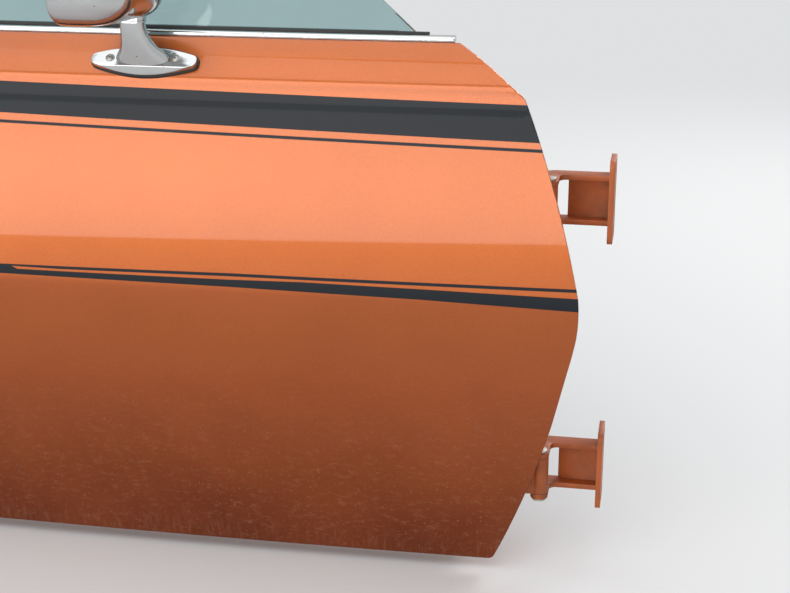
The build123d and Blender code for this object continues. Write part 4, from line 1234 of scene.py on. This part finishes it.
@dataclass
class DoorMirror:
    """Chrome mirror: gasket, pad with two screws, flared stalk, collar and turned head."""

    bench: Bench
    seat_x: float = -488.0
    seat_z: float = 574.0
    sunk: float = 9.0
    gasket: float = 2.4
    pad: float = 5.5
    length: float = 124.0
    width: float = 37.0
    tail_share: float = 0.18
    corner_share: float = 0.13
    lip: float = 1.5
    turn: float = radians(12.0)
    head_rear: float = 44.8
    head_outboard: float = 25.0
    head_foot: float = 47.0
    collar: float = 3.5
    tilt: float = radians(13.0)
    wall_line: float = 9.4
    wall_tilt: float = radians(53.0)
    # Width, height, corner, thickness and how far it sits inside the head's open end.
    glass: tuple[float, ...] = (131.0, 85.0, 27.0, 2.6, 6.0)
    screws: tuple[Point, ...] = ((-38.7, 0.8), (35.7, 2.6))
    # Forward of the seat, depth, height, length, width, lean in degrees, power of the oval.
    stalk: tuple[tuple[float, ...], ...] = (
        (-1.1, 37.6, 577.7, 62.0, 21.0, 50.0, 2.1),
        (-1.1, 35.8, 580.6, 60.0, 19.5, 53.0, 2.1),
        (-1.5, 33.4, 585.2, 54.0, 18.4, 58.0, 2.2),
        (-2.7, 30.8, 590.8, 43.5, 17.8, 65.0, 2.4),
        (-4.0, 27.6, 598.5, 35.0, 17.6, 72.0, 2.6),
        (-5.0, 24.9, 607.5, 30.0, 17.6, 79.0, 2.8),
        (-5.4, 22.8, 616.0, 27.3, 18.0, 87.0, 3.0),
        (-5.2, 22.0, 621.0, 27.0, 18.0, 90.0, 3.0),
    )
    # Forward of the head's open end, width, height and corner: inside the rolled rim, then outside.
    rim: tuple[tuple[float, ...], ...] = (
        (9.0, 131.0, 85.0, 27.0),
        (2.0, 131.6, 85.6, 27.3),
        (0.4, 133.0, 87.0, 28.0),
    )
    shell: tuple[tuple[float, ...], ...] = (
        (0.0, 137.0, 91.0, 30.0),
        (1.6, 140.0, 94.0, 32.0),
        (18.0, 140.0, 94.0, 33.0),
        (37.0, 138.5, 92.5, 34.0),
        (51.0, 134.5, 89.0, 34.0),
        (62.0, 126.0, 81.5, 33.0),
        (71.0, 113.0, 70.0, 31.0),
        (78.5, 94.0, 54.0, 25.0),
        (83.5, 68.0, 34.0, 16.0),
        (86.0, 38.0, 15.0, 7.0),
    )

    def build(self) -> None:
        """Builds the mirror from the skin outwards."""
        seat = SIDE.seat(self.seat_x, self.seat_z)
        mesh = bmesh.new()
        size = (self.length, self.width)
        self.boat(mesh, shifted(seat, z=-self.sunk), size, self.gasket + self.sunk, 0.5)
        self.bench.piece("mirror_pad_gasket", mesh, Slot.RUBBER, "mirror_gasket")
        self.base(seat)
        top = shifted(seat, z=self.gasket + self.pad)
        self.screw_heads(top @ Matrix.Rotation(-self.tilt, 4, "X"))
        self.head()

    def boat(
        self, mesh: BMesh, frame: Matrix, size: Point, height: float, soften: float,
        cut: bool = False,
    ) -> None:
        """A plate with two long arcs and blunt rounded ends, on a frame's xy plane.

        Args:
            mesh: The mesh to add it to.
            frame: Where it stands.
            size: Its length and its greatest width.
            height: Its height on its middle line.
            soften: Rounding of its top edge.
            cut: Whether its top turns up and its lower wall is sliced off flat.
        """
        part = bmesh.new()
        half, tail = size[0] / 2, size[1] * self.tail_share
        radius = arc_radius(size[0], 0.0, size[1] / 2 - tail)
        ends = [(-half, -tail), (half, -tail), (half, tail), (-half, tail)]
        loop = [
            *bulged(ends[0], ends[1], radius, 16), ends[1],
            *bulged(ends[2], ends[3], radius, 16), ends[3],
        ]
        face = part.faces.new([part.verts.new(Vector((x, y, 0)) * MM) for x, y in loop])
        corners = [v for v in face.verts if abs(abs(v.co.x) - half * MM) < 1e-6]
        bevel(part, corners, size[1] * self.corner_share, 6, corners=True)
        thicken(part, part.faces, Vector((0, 0, height * MM * (2 if cut else 1))))
        top = Matrix.Translation((0, 0, height * MM)) @ Matrix.Rotation(-self.tilt, 4, "X")
        wall = shifted(top, y=-self.wall_line) @ Matrix.Rotation(self.wall_tilt, 4, "X")
        for plane in (top, wall) if cut else ():
            bmesh.ops.bisect_plane(
                part, geom=part.verts[:] + part.edges[:] + part.faces[:], dist=CLOSE,
                plane_co=plane.translation, plane_no=plane.col[2].xyz, clear_outer=True,
            )
            fill_holes(part)
        raised = [e for e in part.edges if all(v.co.z > 0.5 * MM for v in e.verts)]
        bevel(part, [e for e in raised if e.calc_face_angle() > radians(25)], soften)
        join(mesh, part, frame)

    def base(self, seat: Matrix) -> None:
        """Pad and stalk in one casting."""
        mesh = bmesh.new()
        size = (self.length - 2 * self.lip, self.width - 2 * self.lip)
        self.boat(mesh, shifted(seat, z=self.gasket), size, self.pad, 0.9, cut=True)
        rings = []
        for forward, depth, z, length, width, lean, power in self.stalk:
            lean = radians(lean)
            along, out = Vector((1, 0, 0)), Vector((0, -cos(lean), sin(lean)))
            frame = frame_from(row(self.seat_x + forward, depth, z), along, out.cross(along), out)
            rings.append(oval_ring(mesh, frame, length, width, power))
        loft(mesh, rings)
        self.bench.piece("mirror_casting", mesh, Slot.CHROME, "mirror_base")

    def screw_heads(self, top: Matrix) -> None:
        """The pad's two screws, each in a washer."""
        mesh = bmesh.new()
        for x, y in self.screws:
            place = shifted(top, x, y)
            lathe(mesh, place, [(5.3, 0.0), (5.3, 0.5), (4.5, 0.6), (4.4, -0.4), (4.4, -0.8)])
            cross_screw(mesh, shifted(place, z=-0.4), 3.9, 1.7)
        self.bench.piece("mirror_screws", mesh, Slot.STEEL)

    def head(self) -> None:
        """Collar, turned housing with its rolled rim, and the mirror glass."""
        forward, depth, z = self.stalk[-1][:3]
        neck = row(self.seat_x + forward, depth, z)
        upright = Matrix.Translation(neck)
        nose = Vector((cos(self.turn), -sin(self.turn), 0))
        inboard = Vector((sin(self.turn), cos(self.turn), 0))
        drop = (self.shell[1][2] - self.shell[4][2]) / 2
        rise = Vector((0, 0, self.collar + self.head_foot - drop))
        centre = neck + (nose * -self.head_rear - inboard * self.head_outboard + rise) * MM
        frame = frame_from(centre, inboard, Vector((0, 0, 1)), nose)
        mesh = bmesh.new()
        rounded_plate(mesh, upright, (29.0, 21.0), 8.6, 2.2, 0.5)
        rounded_plate(mesh, shifted(upright, z=2.5), (30.0, 22.0), 8.8, 9.0, 0.8)
        self.bench.piece("mirror_neck_collar", mesh, Slot.CHROME, "mirror_collar")
        mesh = bmesh.new()
        rings = [
            rounded_ring(mesh, shifted(frame, z=forward), size, corner)
            for forward, *size, corner in (*self.rim, *self.shell)
        ]
        loft(mesh, rings)
        housing = self.bench.piece("mirror_shell", mesh, Slot.CHROME, "mirror_housing")
        rounding = housing.modifiers.new("rounding", "SUBSURF")
        rounding.levels = rounding.render_levels = 2
        mesh = bmesh.new()
        *size, corner, thick, inside = self.glass
        facing = shifted(frame, z=inside) @ Matrix.Rotation(pi, 4, "Y")
        rounded_plate(mesh, facing, size, corner, thick, 0.8)
        self.bench.piece("mirror_reflector", mesh, Slot.REFLECTOR, "mirror_glass")


def oval_ring(
    mesh: BMesh, frame: Matrix, length: float, width: float, power: float,
) -> list[BMEdge]:
    """Edges of an oval on a frame's xy plane; a power above 2 squares it."""
    verts = bmesh.ops.create_circle(mesh, segments=56, radius=1.0)["verts"]
    for vert in verts:
        vert.co *= (abs(vert.co.x) ** power + abs(vert.co.y) ** power) ** (-1 / power)
    scale = Matrix.Diagonal((length / 2 * MM, width / 2 * MM, 1, 1))
    bmesh.ops.transform(mesh, matrix=frame @ scale, verts=verts)
    return list({e for v in verts for e in v.link_edges})


def rounded_ring(mesh: BMesh, frame: Matrix, size: Point, corner: float) -> list[BMEdge]:
    """Edges of a rounded rectangle on a frame's xy plane, in millimetres."""
    scale = Matrix.Diagonal((size[0] * MM, size[1] * MM, 1, 1))
    made = bmesh.ops.create_grid(mesh, x_segments=1, y_segments=1, size=0.5, matrix=frame @ scale)
    bevel(mesh, made["verts"], corner, 8, corners=True)
    face = next(f for f in mesh.faces if len(f.verts) > 4 and all(v.is_boundary for v in f.verts))
    edges = list(face.edges)
    bmesh.ops.delete(mesh, geom=[face], context="FACES_ONLY")
    return edges


def loft(mesh: BMesh, rings: Sequence[list[BMEdge]]) -> None:
    """Bridges rings one to the next and closes both ends with an inset cap."""
    for first, second in zip(rings, rings[1:]):
        bmesh.ops.bridge_loops(mesh, edges=[*first, *second])
    for ring in (rings[0], rings[-1]):
        made = bmesh.ops.holes_fill(mesh, edges=ring, sides=0)["faces"]
        bmesh.ops.inset_region(mesh, faces=made, thickness=1.5 * MM)


@dataclass
class Handle:
    """Outside handle in its cup, and the lock below it."""

    bench: Bench
    lock_x: float = -1196.0
    lock_z: float = 404.0
    lock_proud: float = 3.2

    def build(self) -> None:
        """Softens the castings and adds the lock's keyway."""
        self.bench.softened("handle_escutcheon", Slot.CHROME, 0.6)
        self.bench.softened("handle_paddle", Slot.CHROME, 0.7)
        self.bench.softened("lock_cylinder", Slot.CHROME, 0.5)
        mesh = bmesh.new()
        face = SIDE.seat(self.lock_x, self.lock_z, self.lock_proud)
        rounded_plate(mesh, face, (2.2, 8.0), 0.9, 0.12)
        lathe(mesh, face, [(8.6, 0.0), (8.6, 0.25), (8.2, 0.25), (8.2, 0.0)], 32)
        self.bench.piece("lock_keyway", mesh, Slot.SATIN_BLACK)


@dataclass
class Hinges:
    """Two hinges: painted leaves, plated pins, and the bolts of the door leaves."""

    bench: Bench
    levels: tuple[float, float] = (0.0, -320.0)
    wall_x: float = -120.0
    leaf: float = 6.0
    bolt_y: float = -26.0
    bolt_pitch: Point = (12.0, 33.0)

    def build(self) -> None:
        """Softens the leaves and pins and adds the bolts."""
        for side in ("upper", "lower"):
            self.bench.softened(f"{side}_pillar_leaf", Slot.HINGE, 0.8, body=Body.PILLAR)
            self.bench.softened(f"{side}_hinge_pin", Slot.STEEL, 0.6, body=Body.PILLAR)
            self.bench.softened(f"{side}_door_leaf", Slot.HINGE, 0.8)
        mesh = bmesh.new()
        across, up = self.bolt_pitch
        axes = Vector((0, 1, 0)), Vector((0, 0, 1)), Vector((1, 0, 0))
        for level in self.levels:
            for i, j in ((-1, -1), (1, -1), (-1, 1), (1, 1)):
                y, z = self.bolt_y + across * i, level + up * j
                place = Vector((self.wall_x + self.leaf, y, z)) * MM
                self.bolt(mesh, frame_from(place, *axes))
        self.bench.piece("door_leaf_bolts", mesh, Slot.STEEL)

    def bolt(self, mesh: BMesh, frame: Matrix) -> None:
        """A flanged hexagon bolt head on a frame's xy plane."""
        lathe(mesh, frame, [(3.0, 0.0), (8.0, 0.0), (8.2, 0.6), (7.6, 1.5), (5.6, 1.9), (3.0, 1.9)])
        part = bmesh.new()
        bmesh.ops.create_circle(part, cap_ends=True, segments=6, radius=6.1 * MM)
        tops = thicken(part, part.faces, Vector((0, 0, 4.6 * MM)))
        bevel(part, {e for f in tops for e in f.edges}, 0.7, 2)
        join(mesh, part, shifted(frame, z=1.2))
        lathe(mesh, shifted(frame, z=5.7), [(4.4, 0.0), (4.2, 0.35), (3.4, 0.1), (0.0, 0.1)], 24)


@dataclass
class Shell:
    """Inner shell with its latch, screws, buffers and weather seal."""

    bench: Bench
    shut_x: float = -1236.0
    screw_depths: Point = (74.0, 104.0)
    screw_levels: Point = (363.0, 297.0)

    def build(self) -> None:
        """Dresses the pressing and its fittings."""
        bench = self.bench
        bench.softened("inner_shell", Slot.SHELL, 0.7)
        bench.softened("latch_case", Slot.STEEL, 0.5)
        bench.softened("latch_fork", Slot.STEEL, 0.5)
        bench.softened("bump_stops", Slot.RUBBER, 1.2, 3)
        bench.softened("door_seal", Slot.RUBBER, 1.6, 3)
        mesh = bmesh.new()
        for depth in self.screw_depths:
            for z in self.screw_levels:
                place = row(self.shut_x, depth, z)
                frame = frame_from(place, Vector((0, -1, 0)), Vector((0, 0, 1)), Vector((-1, 0, 0)))
                lathe(mesh, frame, [(6.6, -0.2), (6.4, 0.35), (4.4, 0.9), (1.5, 1.1)])
                cross_screw(mesh, frame, 4.2, 1.4)
        bench.piece("latch_screws", mesh, Slot.STEEL)


@dataclass
class Trim:
    """Inner trim: pleated panel, stuffed armrest, and the bright fittings on them."""

    bench: Bench
    # Place and rounding of each corner of the board.
    board: tuple[tuple[float, float, float], ...] = (
        (-1195.0, 55.0, 8.0),
        (-148.9, 55.0, 10.0),
        (-131.0, 74.5, 10.0),
        (-131.0, 483.6, 12.0),
        (-180.5, 593.0, 3.0),
        (-1195.0, 593.0, 3.0),
    )
    cells: tuple[int, int] = (300, 150)
    padding: float = 5.0
    rolled: float = 7.0
    thinnest: float = 0.8
    field_x: Point = (-1080, -260)
    field_z: Point = (92, 262)
    pleat: float = 27.33
    pleat_rise: float = 4.4
    pleat_sunk: float = 2.6
    line_x: Point = (-1086, -254)
    line_z: tuple[float, ...] = (86, 268, 392, 398)
    line_half: float = 4
    line_deep: float = 2.2

    def build(self) -> None:
        """Builds the soft pieces and dresses the fittings."""
        self.panel()
        self.armrest()
        for node, slot, width in (
            ("release_escutcheon", Slot.CHROME, 0.8),
            ("release_handle", Slot.CHROME, 1.2),
            ("crank_escutcheon", Slot.SATIN_BLACK, 0.6),
            ("crank_arm", Slot.CHROME, 1.2),
            ("crank_knob", Slot.KNOB, 1.2),
            ("lock_knob", Slot.KNOB, 0.5),
        ):
            self.bench.softened(node, slot, width, 3)

    def pressed(self, off: float) -> float:
        """Depth of a pressed line at a distance from its middle."""
        return self.line_deep * max(0.0, 1 - abs(off) / self.line_half) ** 0.6

    def relief(self, x: float, z: float, edge: float) -> float:
        """How far the vinyl stands off the board, in millimetres.

        Args:
            x: Station of the point.
            z: Its height.
            edge: Its distance from the panel's edge.

        Returns:
            The height of the padding there.
        """
        roll = min(1.0, edge / self.rolled)
        height = self.padding * sqrt(max(0.0, 1 - (1 - roll) ** 2))
        if self.field_x[0] < x < self.field_x[1] and self.field_z[0] < z < self.field_z[1]:
            across = (x - self.field_x[0]) / self.pleat % 1.0
            height += self.pleat_rise * (1 - abs(2 * across - 1) ** 2.2) - self.pleat_sunk
        if self.line_x[0] < x < self.line_x[1]:
            height -= sum(self.pressed(z - line) for line in self.line_z)
        if self.line_z[0] < z < self.line_z[1]:
            height -= sum(self.pressed(x - line) for line in self.line_x)
        return max(self.thinnest, height)

    def panel(self) -> None:
        """Vinyl pulled over padding on a board, with a pleated field and pressed lines."""
        low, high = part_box("trim_panel")
        centre = (low + high) / 2
        mesh = bmesh.new()
        place = Matrix.Translation((centre.x, low.y, centre.z)) @ Matrix.Rotation(-pi / 2, 4, "X")
        size = Matrix.Diagonal((high.x - low.x, high.z - low.z, 1, 1))
        along, up = self.cells
        bmesh.ops.create_grid(
            mesh, x_segments=along, y_segments=up, size=0.5, matrix=place @ size,
        )
        sides = sides_of(self.outline())
        slice_sheet(mesh, sides, clear=True)
        mark(thicken(mesh, mesh.faces, Vector((0, 0, 0))))
        for vert in mesh.verts:
            if vert.tag:
                edge = min((start - vert.co).dot(out) for start, out in sides) / MM
                stand = self.relief(vert.co.x / MM - TIP_X, vert.co.z / MM - SILL_Z, edge)
                vert.co.y = low.y + stand * MM
        made = self.bench.piece("trim_pad", mesh, Slot.VINYL, "trim_panel", sharp=radians(60))

    def outline(self) -> list[Point]:
        """Outline of the board, anticlockwise as seen from outboard."""
        return rounded_loop([(x, z) for x, z, _ in self.board], [r for *_, r in self.board], 4)

    def armrest(self) -> None:
        """Armrest: foam in vinyl, swelled by a short cloth simulation and flat on the panel."""
        made = mesh_object("armrest_pad", self.bench.copied("armrest"))
        Cover(made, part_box("armrest")[0].y).swell()
        self.bench.dress(made, Slot.VINYL)
        self.bench.place(made, Body.DOOR, "armrest")


@dataclass
class Cover:
    """A stuffed cover: a closed shape, and the plane that it lies against."""

    target: Object
    back_y: float
    voxel: float = 5.0 * MM
    pressure: float = 4.0
    held_depth: float = 8.0 * MM
    cap: float = 5.0 * MM
    steps: int = 20
    rounds: int = 3

    def swell(self) -> None:
        """Remeshes the shape, blows it up, holds each point near its start and smooths it."""
        cells = self.target.modifiers.new("cells", "REMESH")
        cells.mode, cells.voxel_size = "VOXEL", self.voxel
        self.apply()
        start = [v.co.copy() for v in self.target.data.vertices]
        self.simulate(start)
        for vert, co in zip(self.target.data.vertices, start):
            move = vert.co - co
            if move.length > self.cap:
                move *= self.cap / move.length
            vert.co = co + move
            vert.co.y = max(vert.co.y, self.back_y)
        mesh = bmesh.new()
        mesh.from_mesh(self.target.data)
        for _ in range(self.rounds):
            free = [v for v in mesh.verts if v.co.y > self.back_y + self.held_depth / 2]
            bmesh.ops.smooth_vert(
                mesh, verts=free, factor=0.5, use_axis_x=True, use_axis_y=True, use_axis_z=True,
            )
        mesh.to_mesh(self.target.data)
        mesh.free()
        finer = self.target.modifiers.new("finer", "SUBSURF")
        finer.levels = finer.render_levels = 1
        self.apply()

    def simulate(self, start: Sequence[Vector]) -> None:
        """Runs the cloth with its back held."""
        held = self.target.vertex_groups.new(name="held")
        near = [i for i, co in enumerate(start) if co.y < self.back_y + self.held_depth]
        held.add(near, 1.0, "REPLACE")
        cloth = self.target.modifiers.new("cover", "CLOTH")
        cloth.settings.use_pressure = True
        cloth.settings.uniform_pressure_force = self.pressure
        cloth.settings.effector_weights.gravity = 0.0
        cloth.settings.vertex_group_mass = "held"
        scene = bpy.context.scene
        for step in range(self.steps):
            scene.frame_set(step + 1)
        self.apply()
        scene.frame_set(1)

    def apply(self) -> None:
        """Applies the shape's modifiers."""
        bpy.context.view_layer.update()
        final = self.target.evaluated_get(bpy.context.evaluated_depsgraph_get())
        result = bpy.data.meshes.new_from_object(final)
        self.target.modifiers.clear()
        self.target.data = result


# ---------------------------------------------------------------- studio


@dataclass(frozen=True)
class Lamp:
    """A soft rectangular lamp: its place and aim, its width and height in metres, and its watts."""

    name: str
    place: tuple[float, float, float]
    aim: tuple[float, float, float]
    size: Point
    power: float
    colour: Colour
    roll: float = 0.0

    def hang(self) -> None:
        """Adds the lamp to the scene, unseen by the camera and through glass."""
        data = bpy.data.lights.new(self.name, "AREA")
        data.shape, data.size, data.size_y = "RECTANGLE", *self.size
        data.energy, data.color = self.power, self.colour
        made = linked(self.name, data)
        made.location = self.place
        aimed = (Vector(self.aim) - Vector(self.place)).to_track_quat("-Z", "Y").to_matrix()
        made.rotation_euler = (aimed @ Matrix.Rotation(self.roll, 3, "Z")).to_euler()
        made.visible_camera = made.visible_transmission = False


@dataclass(frozen=True)
class Studio:
    """Camera at the photograph's angle, soft lamps, pale floor and pale surroundings."""

    lens: float = 68.354
    sensor: float = 36.0
    eye: tuple[float, float, float] = (0.052, -1.628, 0.410)
    down: float = radians(72.0)
    swing: float = radians(10.41)
    floor_z: float = -0.445
    floor_half: float = 30.0
    floor_colour: Colour = (0.78, 0.785, 0.79, 1)
    glow_centre: Point = (-0.6, 0.2)
    glow_reach: Point = (0.9, 3.6)
    seen_colour: Colour = (0.74, 0.75, 0.76, 1)
    sky_colour: Colour = (0.93, 0.96, 1.0, 1)
    sky_strength: float = 0.38
    lamps: tuple[Lamp, ...] = (
        Lamp("key", (-0.9, -2.5, 3.35), (-0.6, 0, 0.05), (4.4, 2.7), 62.0, (1.0, 0.985, 0.96)),
        Lamp(
            "horizon", (-1.7, -3.3, 0.36), (-0.8, 0, 0.0), (5.2, 1.45), 78.0,
            (1.0, 0.985, 0.97), radians(4),
        ),
        Lamp("overhead", (-0.6, 0.3, 3.2), (-0.6, 0, 0), (3.6, 2.6), 32.0, (0.95, 0.98, 1.0)),
        Lamp("cabin", (1.5, 3.0, 1.7), (-0.6, 0, 0), (2.4, 1.6), 75.0, (1.0, 0.98, 0.95)),
    )

    def camera(self) -> None:
        """Makes the scene's camera."""
        data = bpy.data.cameras.new("camera")
        data.lens, data.sensor_width = self.lens, self.sensor
        made = linked("camera", data)
        made.location = self.eye
        made.rotation_euler = (self.down, 0, self.swing)
        bpy.context.scene.camera = made

    def light(self) -> None:
        """Lamps, world and floor."""
        for lamp in self.lamps:
            lamp.hang()
        world = bpy.data.worlds.new("surroundings")
        bpy.context.scene.world = world
        world.use_nodes = True
        graph = Graph(world.node_tree)
        seen = seen_rays(graph)
        back = world.node_tree.nodes["Background"]
        graph.feed(back.inputs["Color"], graph.mix(seen, self.sky_colour, self.seen_colour))
        strength = graph.times(seen, 1 - self.sky_strength, self.sky_strength)
        graph.feed(back.inputs["Strength"], strength)
        self.floor()

    def floor(self) -> None:
        """Lays a plain pale floor, which glows like the surroundings away from the door."""
        mesh = bmesh.new()
        level = Matrix.Translation((0, 0, self.floor_z))
        bmesh.ops.create_grid(mesh, x_segments=1, y_segments=1, size=self.floor_half, matrix=level)
        made = mesh_object("floor", mesh)
        finish = Finish("PaleFloor", Roughness=0.9, Base_Color=self.floor_colour)
        graph = finish.graph
        middle = (*self.glow_centre, self.floor_z)
        far = graph.vector("DISTANCE", finish.where, middle, output=1)
        glow = graph.node("Emission", Color=self.seen_colour).outputs[0]
        share = graph.times(graph.ramp(far, *self.glow_reach), seen_rays(graph))
        blend = graph.node("MixShader")
        for socket, value in zip(blend.inputs, (share, finish.shader.outputs[0], glow)):
            graph.feed(socket, value)
        graph.feed(graph.tree.nodes["Material Output"].inputs["Surface"], blend.outputs[0])
        made.data.materials.append(finish.material)


def seen_rays(graph: Graph) -> NodeSocket:
    """Mask of the rays that show the surroundings: the camera's, and those in metal and glass."""
    path = graph.node("LightPath").outputs
    metal_and_glass = graph.math("MAXIMUM", path["Is Glossy Ray"], path["Is Transmission Ray"])
    return graph.math("MAXIMUM", path["Is Camera Ray"], metal_and_glass)


def main() -> None:
    """Builds the door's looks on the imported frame."""
    logging.basicConfig(level=logging.INFO, format="%(name)s %(message)s")
    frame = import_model()
    bpy.context.scene.view_settings.view_transform = "Standard"
    studio = Studio()
    studio.camera()
    bench = Bench(frame["nodes"], build_finishes())
    for assembly in (Skin, Window, DoorMirror, Handle, Hinges, Shell, Trim):
        assembly(bench).build()
    studio.light()


if __name__ == "__main__":
    main()
